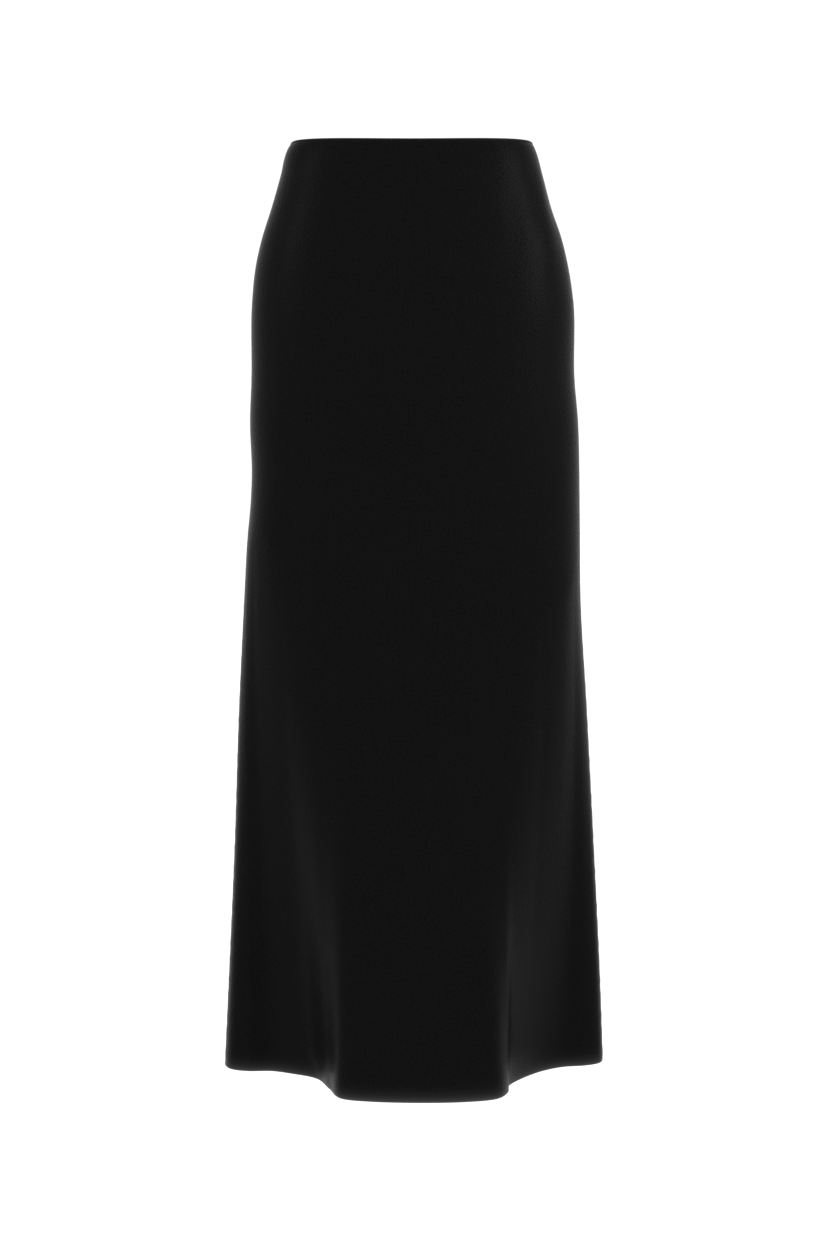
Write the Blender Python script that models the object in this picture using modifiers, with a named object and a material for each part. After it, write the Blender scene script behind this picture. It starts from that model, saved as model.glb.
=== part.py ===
"""Midi skirt in a plain black crepe, filled out as if worn and held at the waist.

The skirt is a long A-line: a front cut in one piece and two backs that meet at a centre-back seam,
closed by a concealed zip. Each panel is a wall lofted between level sections of the body above and
a fluted hem below. +Z is up, the front faces -Y, and +X is on the right of someone who looks at the
front. The origin is the middle of the waist opening, level with the edge at the centre front.
All sizes are in metres.
"""

import math
from collections import namedtuple

import bmesh
import bpy
import numpy as np
from mathutils import Matrix, Vector

# ---------------------------------------------------------------- driving dimensions
LENGTH = 0.925                # centre-front waist edge to hem
CLOTH = 0.0014                # wall of single cloth
DOUBLE_CLOTH = 0.0026         # wall where the cloth is turned to the inside
WAIST_TURN = 0.008            # depth of the turned waist edge
HEM_TURN = 0.038              # depth of the hem turn-up
TURN_STEP = 0.002             # height over which the wall goes from double to single
SIDE_RISE = 0.0035            # the waist edge is this much higher at the sides than in front
RISE_FADE = 0.060             # height over which that rise dies away
SEAM_GAP = 0.00015            # each panel stops this far from a seam's line
FOLD_POWER = 1.25             # how fast a fold deepens on its way down to the hem
COLUMNS_PER_SPAN = 2          # wall columns between two neighbouring hem points
HALF_STEPS = 361              # points that a level section's half is worked out on
SPAN_STEPS = 24               # steps of the hem curve between two neighbouring hem points
WIDTH_POINTS = 81             # points that a panel's width is measured on
SHARE_STEP = 0.002            # the cloth's direction round the body is read over this share
DROP_STEP = 0.0005            # and its slope over this drop
SHARP_CLOTH = 50              # cloth edges that turn by more degrees than this look sharp
SHARP_METAL = 35              # and edges of the metal

# Level sections of the skirt without its hem folds. drop: below the waist edge. half_width: side to
# side, halved. shift: of the middle, to +X. front, back: from the side seams' plane. squareness: 2
# is an ellipse, and more is boxier.
Level = namedtuple("Level", "drop half_width shift front back squareness")
LEVELS = (
    Level(0.000, 0.1190, -0.0022, 0.0920, 0.0902, 2.70),
    Level(0.008, 0.1231, -0.0026, 0.0935, 0.0924, 2.70),
    Level(0.030, 0.1294, -0.0023, 0.0965, 0.0984, 2.65),
    Level(0.060, 0.1382, -0.0026, 0.1000, 0.1070, 2.60),
    Level(0.092, 0.1488, -0.0022, 0.1040, 0.1165, 2.55),
    Level(0.120, 0.1552, -0.0020, 0.1070, 0.1235, 2.50),
    Level(0.150, 0.1591, -0.0013, 0.1095, 0.1280, 2.45),
    Level(0.230, 0.1605, -0.0010, 0.1135, 0.1310, 2.40),
    Level(0.270, 0.1630, 0.0000, 0.1145, 0.1310, 2.40),
    Level(0.325, 0.1630, 0.0016, 0.1155, 0.1313, 2.40),
    Level(0.350, 0.1637, 0.0012, 0.1160, 0.1315, 2.40),
    Level(0.390, 0.1658, -0.0004, 0.1165, 0.1320, 2.40),
    Level(0.430, 0.1672, -0.0014, 0.1170, 0.1325, 2.40),
    Level(0.560, 0.1750, -0.0010, 0.1205, 0.1360, 2.40),
    Level(0.700, 0.1823, 0.0004, 0.1250, 0.1400, 2.40),
    Level(0.830, 0.1896, 0.0008, 0.1290, 0.1440, 2.40),
    Level(0.925, 0.1945, 0.0004, 0.1320, 0.1470, 2.40),
)

# The hem seen from above, from the left side seam over the front to the right side seam and on
# round the back. forward: in front of the side seams' plane. top: how far below the waist the fold
# at that point begins.
HemPoint = namedtuple("HemPoint", "place x forward top")
FRONT_HEM = (
    HemPoint("left side seam", -0.1925, -0.030, 0.42),
    HemPoint("left side fold, front corner", -0.1845, -0.009, 0.40),
    HemPoint("left side fold, front face", -0.1680, 0.000, 0.40),
    HemPoint("left trough", -0.1440, 0.000, 0.38),
    HemPoint("left trough, rising", -0.1230, 0.013, 0.38),
    HemPoint("left flank, foot", -0.0985, 0.035, 0.40),
    HemPoint("left flank, middle", -0.0835, 0.084, 0.44),
    HemPoint("left flank, shoulder", -0.0700, 0.129, 0.44),
    HemPoint("front, left", -0.0400, 0.142, 0.44),
    HemPoint("front, middle", 0.0080, 0.147, 0.44),
    HemPoint("front, right", 0.0500, 0.143, 0.46),
    HemPoint("right fold, shoulder", 0.0800, 0.130, 0.50),
    HemPoint("right fold, edge", 0.0920, 0.101, 0.54),
    HemPoint("right fold, tucked side", 0.0930, 0.074, 0.52),
    HemPoint("right fold, foot", 0.1080, 0.036, 0.46),
    HemPoint("right trough, falling", 0.1310, -0.001, 0.44),
    HemPoint("right trough", 0.1520, -0.020, 0.42),
    HemPoint("right side fold, front face", 0.1740, -0.027, 0.42),
    HemPoint("right side fold, front corner", 0.1885, -0.038, 0.42),
    HemPoint("right side seam", 0.1940, -0.055, 0.42),
)
BACK_RIGHT_HEM = (
    HemPoint("right side seam", 0.1940, -0.055, 0.42),
    HemPoint("right side fold, back corner", 0.1900, -0.086, 0.42),
    HemPoint("right side fold, back face", 0.1700, -0.105, 0.40),
    HemPoint("right back trough", 0.1440, -0.106, 0.38),
    HemPoint("right back flank, foot", 0.1230, -0.118, 0.40),
    HemPoint("right back flank, middle", 0.1120, -0.150, 0.42),
    HemPoint("right back fold", 0.0950, -0.179, 0.44),
    HemPoint("right back fold, crown", 0.0660, -0.188, 0.46),
    HemPoint("right back fold, inner side", 0.0370, -0.176, 0.46),
    HemPoint("right of the centre-back seam", 0.0160, -0.154, 0.46),
    HemPoint("centre-back seam", 0.0000, -0.149, 0.48),
)
BACK_LEFT_HEM = (
    HemPoint("centre-back seam", 0.0000, -0.149, 0.48),
    HemPoint("left of the centre-back seam", -0.0170, -0.156, 0.46),
    HemPoint("left back fold, inner side", -0.0390, -0.180, 0.44),
    HemPoint("left back fold, crown", -0.0700, -0.191, 0.44),
    HemPoint("left back fold", -0.0970, -0.178, 0.42),
    HemPoint("left back flank, middle", -0.1130, -0.146, 0.40),
    HemPoint("left back flank, foot", -0.1290, -0.112, 0.38),
    HemPoint("left back trough", -0.1530, -0.098, 0.38),
    HemPoint("left side fold, back face", -0.1750, -0.090, 0.40),
    HemPoint("left side fold, back corner", -0.1895, -0.066, 0.42),
    HemPoint("left side seam", -0.1925, -0.030, 0.42),
)

# Heights of the wall's rows, as drops below the waist edge.
ROWS = (0.000, 0.003, 0.008, 0.010, 0.020, 0.027, 0.042, 0.062, 0.085, 0.112, 0.145, 0.185, 0.232,
        0.285, 0.345, 0.405, 0.465, 0.525, 0.585, 0.645, 0.705, 0.762, 0.815, 0.860,
        LENGTH - HEM_TURN - TURN_STEP, LENGTH - HEM_TURN, LENGTH)

# Concealed zip in the centre-back seam.
SLIDER_DROP = 0.014           # hinge of the pull tab below the waist edge
SLIDER_SLOPE_STEP = 0.004     # the cloth's slope there is read this far above and below it
SLIDER_PART = 0.00095         # the seam stands open by this much each side of the slider's neck
SLIDER_PART_DROP = 0.020      # the seam closes again below this drop
ZIP_TOP = 0.0105              # tape's upper end
ZIP_END = 0.215               # tape's lower end
TAPE_WIDTH = 0.012
TAPE = 0.0008                 # tape thickness
COIL = 0.0021                 # coil thickness, with its tape
COIL_WIDTH = 0.0021           # of one half of the coil
COIL_TOP = 0.024              # the coil below the slider starts here
COIL_STEP = 0.0003            # width of the step from coil to tape, where it is steep
COIL_RISE = 0.001             # and its height at the coil's top
LAYER_GAP = 0.0003            # between cloth and tape, and between tape and slider
ZIP_ROWS = (ZIP_TOP, SLIDER_PART_DROP, COIL_TOP - COIL_RISE, COIL_TOP, 0.040, 0.062, 0.085, 0.112,
            0.145, 0.180, ZIP_END)

BLOCK = (0.0064, 0.0032, 0.0095)      # slider's inner block: width, depth, height
BLOCK_BEVEL = 0.0006
NECK = (0.0012, 0.0032, 0.0064)       # slider's neck through the seam: width, depth, height
NECK_PROUD = 0.0002                   # the neck stops this far short of the cloth's outer face
HINGE_PROUD = 0.0013                  # hinge axis in front of the cloth's outer face
ARCH_RADIUS = 0.0023                  # wire arch that carries the pull tab
ARCH_WIRE = 0.0005                    # its wire's radius
ARCH_CENTRE = 0.0010                  # arch's centre in front of the cloth's outer face
ARCH_FOOT = NECK[1] / 3               # its feet go this far into the neck
ARCH_POINTS = 13
PULL_THICKNESS = 0.0012
PULL_BAR = 0.00055                    # half the height of the bar that turns in the arch
PULL_ARM_OUT = 0.0024                 # outer edge of the pull's two arms
PULL_ARM_IN = 0.0009                  # inner edge of its arms
PULL_EYE_END = 0.0042                 # lower end of the eye, below the axis
PULL_WAIST = (0.0085, 0.0015)         # narrow place: below the axis, half width
PULL_BELLY = (0.0175, 0.0029)         # wide place: below the axis, half width
PULL_TOE = (0.0213, 0.0018)           # where it rounds to its tip: below the axis, half width
PULL_END = 0.0220                     # tip, below the axis
PULL_SHOULDER = 0.0006                # size of its upper corners' rounding

CREPE_BLACK = (0.0070, 0.0070, 0.0074)
TAPE_BLACK = (0.0062, 0.0062, 0.0066)
LACQUER_BLACK = (0.012, 0.012, 0.012)


# ---------------------------------------------------------------- curves and tables
def smooth_read(knots, values, at):
    """Value at a place between a table's rows, on a smooth curve through all of them."""
    knots = np.asarray(knots, dtype=float)
    values = np.asarray(values, dtype=float)
    spans = np.diff(knots)
    rates = np.diff(values) / spans
    slopes = np.concatenate((
        [rates[0]],
        (rates[:-1] * spans[1:] + rates[1:] * spans[:-1]) / (spans[:-1] + spans[1:]),
        [rates[-1]],
    ))
    row = int(np.clip(np.searchsorted(knots, at) - 1, 0, len(spans) - 1))
    span = spans[row]
    t = (at - knots[row]) / span
    return (
        values[row] * (1 + 2 * t) * (1 - t) ** 2
        + slopes[row] * span * t * (1 - t) ** 2
        + values[row + 1] * t * t * (3 - 2 * t)
        - slopes[row + 1] * span * t * t * (1 - t)
    )


def level_at(drop):
    """The level section at a drop below the waist edge."""
    drops = [level.drop for level in LEVELS]
    columns = [
        smooth_read(drops, [getattr(level, name) for level in LEVELS], drop)
        for name in Level._fields[1:]
    ]
    return Level(drop, *columns)


def along(points, shares):
    """Places at the given shares of a polyline's length."""
    steps = np.hypot(*np.diff(points, axis=0).T)
    travelled = np.concatenate(([0.0], np.cumsum(steps)))
    distances = np.asarray(shares) * travelled[-1]
    return np.column_stack([np.interp(distances, travelled, points[:, axis]) for axis in (0, 1)])


def smooth_loop(points, steps):
    """Closed smooth curve through the points, with the index at which each of them lies."""
    points = np.asarray(points, dtype=float)
    before = np.roll(points, 1, axis=0)
    after = np.roll(points, -1, axis=0)
    gap_before = np.sqrt(np.linalg.norm(points - before, axis=1))[:, None]
    gap_after = np.sqrt(np.linalg.norm(after - points, axis=1))[:, None]
    slopes = (
        (points - before) / gap_before * gap_after + (after - points) / gap_after * gap_before
    ) / (gap_before + gap_after)
    curve = []
    for i, start in enumerate(points):
        j = (i + 1) % len(points)
        for step in range(steps):
            t = step / steps
            curve.append(
                start * (1 + 2 * t) * (1 - t) ** 2
                + slopes[i] * gap_after[i] * t * (1 - t) ** 2
                + points[j] * t * t * (3 - 2 * t)
                - slopes[j] * gap_after[i] * t * t * (1 - t)
            )
    return np.array(curve), [i * steps for i in range(len(points))]


# ---------------------------------------------------------------- the skirt's surface
def body_half(level, forward_sign):
    """Half of a level section, from its -X side to its +X side over the front or the back."""
    depth = level.front if forward_sign > 0 else level.back
    angles = np.linspace(math.pi, 0.0, HALF_STEPS)
    power = 2.0 / level.squareness
    cosines = np.cos(angles)
    x = level.shift + level.half_width * np.sign(cosines) * np.abs(cosines) ** power
    forward = forward_sign * depth * np.sin(angles).clip(0.0) ** power
    return np.column_stack((x, forward))


class Panel:
    """One cut piece of the skirt: a stretch of the surface between two seams.

    share runs from 0 at the panel's first seam to 1 at its last, going from -X to +X in front and
    from +X to -X at the back.
    """

    def __init__(self, hem_points, hem_curve, on_front, stretch):
        self.hem_curve = hem_curve
        self.on_front = on_front
        self.stretch = stretch
        marks = np.array([(point.x, point.forward) for point in hem_points])
        steps = np.hypot(*np.diff(hem_curve, axis=0).T)
        travelled = np.concatenate(([0.0], np.cumsum(steps))) / steps.sum()
        nearest = [
            int(np.argmin(np.hypot(*(hem_curve - mark).T))) for mark in marks
        ]
        self.mark_shares = travelled[nearest]
        self.mark_tops = np.array([point.top for point in hem_points])

    def columns(self):
        """Shares of the wall's columns: each hem point and even steps between them."""
        places = np.linspace(0, len(self.mark_shares) - 1,
                             (len(self.mark_shares) - 1) * COLUMNS_PER_SPAN + 1)
        return np.interp(places, np.arange(len(self.mark_shares)), self.mark_shares)

    def body(self, shares, drop):
        """The level section's stretch under this panel, without hem folds."""
        level = level_at(drop)
        half = body_half(level, 1 if self.on_front else -1)
        if not self.on_front:
            half = half[::-1]
        first, last = self.stretch
        return along(half, first + (last - first) * np.asarray(shares))

    def width(self, drop):
        """Length of the panel round the body at a drop."""
        points = self.flat(np.linspace(0, 1, WIDTH_POINTS), drop)
        return float(np.hypot(*np.diff(points, axis=0).T).sum())

    def flat(self, shares, drop):
        """x and forward of the outer face, at shares of the panel and one drop."""
        shares = np.asarray(shares, dtype=float)
        tops = np.interp(shares, self.mark_shares, self.mark_tops)
        grown = (((drop - tops) / (LENGTH - tops)).clip(0.0)) ** FOLD_POWER
        fold = along(self.hem_curve, shares) - self.body(shares, LENGTH)
        return self.body(shares, drop) + grown[:, None] * fold

    def surface(self, shares, drop):
        """Points of the outer face in world space."""
        places = self.flat(shares, drop)
        level = level_at(drop)
        across = np.abs((places[:, 0] - level.shift) / level.half_width).clip(0.0, 1.0)
        rise = SIDE_RISE * (across ** 2 if self.on_front else np.ones_like(across))
        heights = -drop + rise * max(0.0, 1.0 - drop / RISE_FADE)
        return np.column_stack((places[:, 0], -places[:, 1], heights))

    def layer(self, shares, drop, inward):
        """Points a given depth below the outer face, towards the inside of the skirt."""
        shares = np.asarray(shares, dtype=float)
        low = (shares - SHARE_STEP).clip(0.0, 1.0)
        high = (shares + SHARE_STEP).clip(0.0, 1.0)
        round_body = self.surface(high, drop) - self.surface(low, drop)
        above = self.surface(shares, max(0.0, drop - DROP_STEP))
        down = self.surface(shares, min(LENGTH, drop + DROP_STEP)) - above
        inwards = np.cross(round_body, down)
        inwards /= np.linalg.norm(inwards, axis=1)[:, None]
        return self.surface(shares, drop) + inwards * np.asarray(inward).reshape(-1, 1)


def cut_panels():
    """The three panels, cut from one closed hem curve."""
    ring = FRONT_HEM[:-1] + BACK_RIGHT_HEM[:-1] + BACK_LEFT_HEM[:-1]
    curve, marks = smooth_loop([(point.x, point.forward) for point in ring], SPAN_STEPS)
    right_seam = marks[len(FRONT_HEM) - 1]
    back_seam = marks[len(FRONT_HEM) + len(BACK_RIGHT_HEM) - 2]
    closed = np.vstack((curve, curve[:1]))
    return {
        "front": Panel(FRONT_HEM, closed[: right_seam + 1], True, (0.0, 1.0)),
        "back_right": Panel(BACK_RIGHT_HEM, closed[right_seam: back_seam + 1], False, (0.0, 0.5)),
        "back_left": Panel(BACK_LEFT_HEM, closed[back_seam:], False, (0.5, 1.0)),
    }


def wall_at(drop):
    """Thickness of the cloth wall: double in the turned waist edge and the hem turn-up."""
    turned = drop <= WAIST_TURN or drop >= LENGTH - HEM_TURN
    return DOUBLE_CLOTH if turned else CLOTH


def back_seam_gap(drop):
    """How far each back panel stops from the centre-back seam's line."""
    return SLIDER_PART if drop <= SLIDER_PART_DROP else SEAM_GAP


# ---------------------------------------------------------------- solids
def add_object(name, mesh, material):
    """Put a mesh in the part's collection as a new object."""
    mesh.materials.clear()
    mesh.materials.append(material)
    part = bpy.data.objects.new(name, mesh)
    bpy.data.collections["midi_skirt"].objects.link(part)
    return part


def close_wall(name, outer_rows, inner_rows, material):
    """Closed wall between an outer and an inner grid of points."""
    mesh = bpy.data.meshes.new(name)
    shell = bmesh.new()
    outer = [[shell.verts.new(point) for point in row] for row in outer_rows]
    inner = [[shell.verts.new(point) for point in row] for row in inner_rows]
    last_row = len(outer) - 1
    last_column = len(outer[0]) - 1
    for i in range(last_row):
        for j in range(last_column):
            shell.faces.new((outer[i][j], outer[i + 1][j], outer[i + 1][j + 1], outer[i][j + 1]))
            shell.faces.new((inner[i][j], inner[i][j + 1], inner[i + 1][j + 1], inner[i + 1][j]))
    for j in range(last_column):
        shell.faces.new((outer[0][j], outer[0][j + 1], inner[0][j + 1], inner[0][j]))
        shell.faces.new((outer[last_row][j + 1], outer[last_row][j],
                         inner[last_row][j], inner[last_row][j + 1]))
    for i in range(last_row):
        shell.faces.new((outer[i + 1][0], outer[i][0], inner[i][0], inner[i + 1][0]))
        shell.faces.new((outer[i][last_column], outer[i + 1][last_column],
                         inner[i + 1][last_column], inner[i][last_column]))
    bmesh.ops.triangulate(shell, faces=shell.faces[:])
    bmesh.ops.recalc_face_normals(shell, faces=shell.faces[:])
    shell.to_mesh(mesh)
    shell.free()
    mesh.shade_smooth()
    mesh.set_sharp_from_angle(angle=math.radians(SHARP_CLOTH))
    return add_object(name, mesh, material)


def build_panel(name, panel, first_gap, last_gap, material):
    """One panel's wall. first_gap and last_gap give its distance from each seam at a drop."""
    outer_rows = []
    inner_rows = []
    columns = panel.columns()
    for drop in ROWS:
        width = panel.width(drop)
        start = first_gap(drop) / width
        end = 1.0 - last_gap(drop) / width
        shares = start + (end - start) * columns
        outer_rows.append(panel.surface(shares, drop))
        inner_rows.append(panel.layer(shares, drop, np.full(len(shares), wall_at(drop))))
    return close_wall(name, outer_rows, inner_rows, material)


def build_tape(name, panel, seam_share, material):
    """One zip tape with its half of the coil, flat against the inside of a back panel."""
    outer_rows = []
    inner_rows = []
    for drop in ZIP_ROWS:
        width = panel.width(drop)
        coil = COIL if drop >= COIL_TOP else TAPE
        places = (
            (back_seam_gap(drop), coil),
            (COIL_WIDTH, coil),
            (COIL_WIDTH + COIL_STEP, TAPE),
            (TAPE_WIDTH / 2, TAPE),
            (TAPE_WIDTH, TAPE),
        )
        shares = np.array([place / width for place, _ in places])
        thickness = np.array([thick for _, thick in places])
        if seam_share == 1.0:
            shares = 1.0 - shares[::-1]
            thickness = thickness[::-1]
        face = CLOTH + LAYER_GAP
        outer_rows.append(panel.layer(shares, drop, np.full(len(shares), face)))
        inner_rows.append(panel.layer(shares, drop, face + thickness))
    return close_wall(name, outer_rows, inner_rows, material)


def slider_frame(panel):
    """Frame of the slider at the centre-back seam: X across, Y out of the cloth, Z up along it."""
    place = Vector(panel.surface([1.0], SLIDER_DROP)[0])
    above = Vector(panel.surface([1.0], SLIDER_DROP - SLIDER_SLOPE_STEP)[0])
    below = Vector(panel.surface([1.0], SLIDER_DROP + SLIDER_SLOPE_STEP)[0])
    across = Vector((1.0, 0.0, 0.0))
    up = Vector((0.0, above.y - below.y, above.z - below.z)).normalized()
    out = up.cross(across).normalized()
    frame = Matrix((across, out, up)).transposed().to_4x4()
    frame.translation = place
    return frame


def mesh_of(part):
    """Closed mesh of an object as it is evaluated, with its caps welded."""
    bpy.context.view_layer.update()
    evaluated = part.evaluated_get(bpy.context.evaluated_depsgraph_get())
    mesh = bpy.data.meshes.new_from_object(evaluated)
    solid = bmesh.new()
    solid.from_mesh(mesh)
    bmesh.ops.remove_doubles(solid, verts=solid.verts[:], dist=0.000001)
    bmesh.ops.recalc_face_normals(solid, faces=solid.faces[:])
    solid.to_mesh(mesh)
    solid.free()
    return mesh


def block_object(name, size, centre, material):
    """Box of a given size at a given centre, in the slider's frame."""
    mesh = bpy.data.meshes.new(name)
    box = bmesh.new()
    bmesh.ops.create_cube(box, size=1.0)
    bmesh.ops.scale(box, vec=size, verts=box.verts[:])
    bmesh.ops.translate(box, vec=centre, verts=box.verts[:])
    box.to_mesh(mesh)
    box.free()
    return add_object(name, mesh, material)


def arch_object(material):
    """Wire arch outside the cloth, from above the pull's bar to below it."""
    points = [Vector((0.0, -ARCH_FOOT, ARCH_RADIUS))]
    for i in range(ARCH_POINTS):
        angle = math.pi * (0.5 - i / (ARCH_POINTS - 1))
        points.append(Vector((0.0, ARCH_CENTRE + ARCH_RADIUS * math.cos(angle),
                              ARCH_RADIUS * math.sin(angle))))
    points.append(Vector((0.0, -ARCH_FOOT, -ARCH_RADIUS)))
    curve = bpy.data.curves.new("arch", "CURVE")
    curve.dimensions = "3D"
    curve.bevel_depth = ARCH_WIRE
    curve.bevel_resolution = 2
    curve.use_fill_caps = True
    spline = curve.splines.new("POLY")
    spline.points.add(len(points) - 1)
    for spot, point in zip(spline.points, points):
        spot.co = (*point, 1.0)
    arch = bpy.data.objects.new("arch", curve)
    bpy.data.collections["midi_skirt"].objects.link(arch)
    solid = add_object("arch_solid", mesh_of(arch), material)
    bpy.data.objects.remove(arch)
    return solid


def build_slider(frame, material):
    """Zip slider: a block inside the seam, a neck through it and a wire arch outside."""
    block_face = -(CLOTH + TAPE + 2 * LAYER_GAP)
    slider = block_object("zip_slider", BLOCK, (0.0, block_face - BLOCK[1] / 2, 0.0), material)
    soften = slider.modifiers.new("soften", "BEVEL")
    soften.width = BLOCK_BEVEL
    soften.segments = 2
    neck = block_object("neck", NECK, (0.0, -NECK_PROUD - NECK[1] / 2, 0.0), material)
    arch = arch_object(material)
    for piece in (neck, arch):
        join = slider.modifiers.new("join", "BOOLEAN")
        join.operation = "UNION"
        join.object = piece
    joined = mesh_of(slider)
    for piece in (neck, arch, slider):
        bpy.data.objects.remove(piece)
    part = add_object("zip_slider", joined, material)
    part.matrix_world = frame
    part.data.shade_smooth()
    part.data.set_sharp_from_angle(angle=math.radians(SHARP_METAL))
    return part


def smooth_outline(spline, points):
    """Closed Bezier outline with automatic handles through (x, y, is_corner) points."""
    spline.bezier_points.add(len(points) - 1)
    for spot, (x, y, is_corner) in zip(spline.bezier_points, points):
        spot.co = (x, y, 0.0)
        kind = "VECTOR" if is_corner else "AUTO"
        spot.handle_left_type = kind
        spot.handle_right_type = kind
    spline.use_cyclic_u = True
    spline.resolution_u = 4


def build_pull(frame, material):
    """Teardrop pull tab whose eye goes round the slider's arch. Its origin is on the hinge axis."""
    side = [
        (PULL_ARM_OUT - PULL_SHOULDER, PULL_BAR, False),
        (PULL_ARM_OUT, PULL_BAR - PULL_SHOULDER, False),
        (PULL_ARM_OUT, -PULL_EYE_END, False),
    ] + [(half_width, -drop, False) for drop, half_width in (PULL_WAIST, PULL_BELLY, PULL_TOE)]
    outline = side + [(0.0, -PULL_END, False)] + [(-x, y, kind) for x, y, kind in reversed(side)]
    eye = [
        (PULL_ARM_IN, -PULL_BAR, True),
        (PULL_ARM_IN, -PULL_EYE_END + PULL_ARM_IN, False),
        (0.0, -PULL_EYE_END, False),
        (-PULL_ARM_IN, -PULL_EYE_END + PULL_ARM_IN, False),
        (-PULL_ARM_IN, -PULL_BAR, True),
    ]
    curve = bpy.data.curves.new("pull_outline", "CURVE")
    curve.dimensions = "2D"
    curve.fill_mode = "BOTH"
    curve.extrude = PULL_THICKNESS / 2
    smooth_outline(curve.splines.new("BEZIER"), outline)
    smooth_outline(curve.splines.new("BEZIER"), eye)
    flat = bpy.data.objects.new("pull_outline", curve)
    bpy.data.collections["midi_skirt"].objects.link(flat)
    mesh = mesh_of(flat)
    bpy.data.objects.remove(flat)
    mesh.transform(Matrix.Rotation(math.radians(90), 4, "X"))
    pull = add_object("zip_pull", mesh, material)
    pull.matrix_world = frame @ Matrix.Translation((0.0, HINGE_PROUD, 0.0))
    return pull


# ---------------------------------------------------------------- materials and the model
def make_material(name, colour, roughness, metallic=0.0):
    """Principled material with one colour."""
    material = bpy.data.materials.new(name)
    material.use_nodes = True
    shader = material.node_tree.nodes["Principled BSDF"]
    shader.inputs["Base Color"].default_value = (*colour, 1.0)
    shader.inputs["Roughness"].default_value = roughness
    shader.inputs["Metallic"].default_value = metallic
    return material


def main():
    """Build every piece of the skirt."""
    for leftover in list(bpy.data.objects):
        bpy.data.objects.remove(leftover)
    collection = bpy.data.collections.new("midi_skirt")
    bpy.context.scene.collection.children.link(collection)

    crepe = make_material("black_crepe", CREPE_BLACK, 0.85)
    woven_tape = make_material("zip_tape", TAPE_BLACK, 0.7)
    lacquer = make_material("black_lacquer", LACQUER_BLACK, 0.35)

    def plain_gap(drop):
        return SEAM_GAP

    panels = cut_panels()
    build_panel("front_panel", panels["front"], plain_gap, plain_gap, crepe)
    build_panel("back_panel_right", panels["back_right"], plain_gap, back_seam_gap, crepe)
    build_panel("back_panel_left", panels["back_left"], back_seam_gap, plain_gap, crepe)
    build_tape("zip_tape_right", panels["back_right"], 1.0, woven_tape)
    build_tape("zip_tape_left", panels["back_left"], 0.0, woven_tape)
    frame = slider_frame(panels["back_right"])
    build_slider(frame, lacquer)
    build_pull(frame, lacquer)


main()
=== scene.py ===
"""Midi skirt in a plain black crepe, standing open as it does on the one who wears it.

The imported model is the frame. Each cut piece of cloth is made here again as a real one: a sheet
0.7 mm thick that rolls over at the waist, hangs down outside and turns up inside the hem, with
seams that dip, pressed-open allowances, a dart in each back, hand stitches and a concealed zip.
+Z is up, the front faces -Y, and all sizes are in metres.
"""

import logging
import math
from collections.abc import Callable, Iterable, Sequence
from dataclasses import dataclass, field
from enum import Enum

import bmesh
import bpy
import numpy as np
from mathutils import Matrix, Vector


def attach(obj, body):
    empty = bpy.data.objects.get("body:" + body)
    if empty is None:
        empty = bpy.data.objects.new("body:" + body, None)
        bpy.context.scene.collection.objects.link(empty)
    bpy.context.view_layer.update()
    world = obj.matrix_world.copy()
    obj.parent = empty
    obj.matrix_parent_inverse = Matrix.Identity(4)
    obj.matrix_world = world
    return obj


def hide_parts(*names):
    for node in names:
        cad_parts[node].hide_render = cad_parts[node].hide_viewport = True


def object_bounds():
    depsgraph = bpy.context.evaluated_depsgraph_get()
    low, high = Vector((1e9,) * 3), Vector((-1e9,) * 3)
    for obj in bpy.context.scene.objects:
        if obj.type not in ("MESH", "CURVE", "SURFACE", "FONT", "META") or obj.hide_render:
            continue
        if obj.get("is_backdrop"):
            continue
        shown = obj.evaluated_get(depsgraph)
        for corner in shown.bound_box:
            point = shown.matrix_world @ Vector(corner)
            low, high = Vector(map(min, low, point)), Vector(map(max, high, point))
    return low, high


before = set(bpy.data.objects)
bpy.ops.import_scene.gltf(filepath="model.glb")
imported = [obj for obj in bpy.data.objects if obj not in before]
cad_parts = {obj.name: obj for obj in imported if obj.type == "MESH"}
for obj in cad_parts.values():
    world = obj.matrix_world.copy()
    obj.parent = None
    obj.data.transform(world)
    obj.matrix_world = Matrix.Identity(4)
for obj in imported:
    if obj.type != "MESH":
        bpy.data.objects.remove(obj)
packed_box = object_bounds()

# short names for types
Pair = tuple[float, float]
Triple = tuple[float, float, float]
Mesh = bpy.types.Mesh
Material = bpy.types.Material
Socket = bpy.types.NodeSocket
Tree = bpy.types.NodeTree
Array = np.ndarray
Value = float | np.ndarray

LOG = logging.getLogger("midi_skirt")
SKIRT_BODY = "skirt"
PULL_BODY = "pull_tab"
CLOTH_MAP = "cloth"           # UV map of every textile, in metres along and across its grain
WEAR_AND_SHEEN = "wear_and_sheen"                 # point attribute: 1 on a pressed fold and where wear shows, 0 away from it; the crepe is drawn lighter there, partly for wear and partly as a painted sheen
AREA_STEP = 0.025             # drops apart at which widths are added up to an area
NECK_GAP = 0.0009             # how far each back stops from the centre-back line at the zip's neck
NECK_DROPS = (0.0065, 0.0215)     # drops between which it does so
NECK_EASE = 0.004             # over how far the gap opens and closes


class Slot(str, Enum):
    """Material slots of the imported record."""

    CREPE = "crepe"
    TAPE = "zip_tape"
    LACQUER = "zip_lacquer"


class Side(Enum):
    """The two back panels and the halves of the zip, by the side of someone facing the front."""

    RIGHT = "right"
    LEFT = "left"


# ------------------------------------------------------------------ the skirt's form
@dataclass(frozen=True)
class Level:
    """A level section of the skirt before its hem folds.

    Attributes:
        drop: Distance below the waist edge.
        half_width: Side to side, halved.
        shift: Of the section's middle, to +X.
        front: Depth in front of the side seams' plane.
        back: Depth behind it.
        squareness: 2 is an ellipse, and more is boxier.
    """

    drop: float
    half_width: float
    shift: float
    front: float
    back: float
    squareness: float


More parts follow.
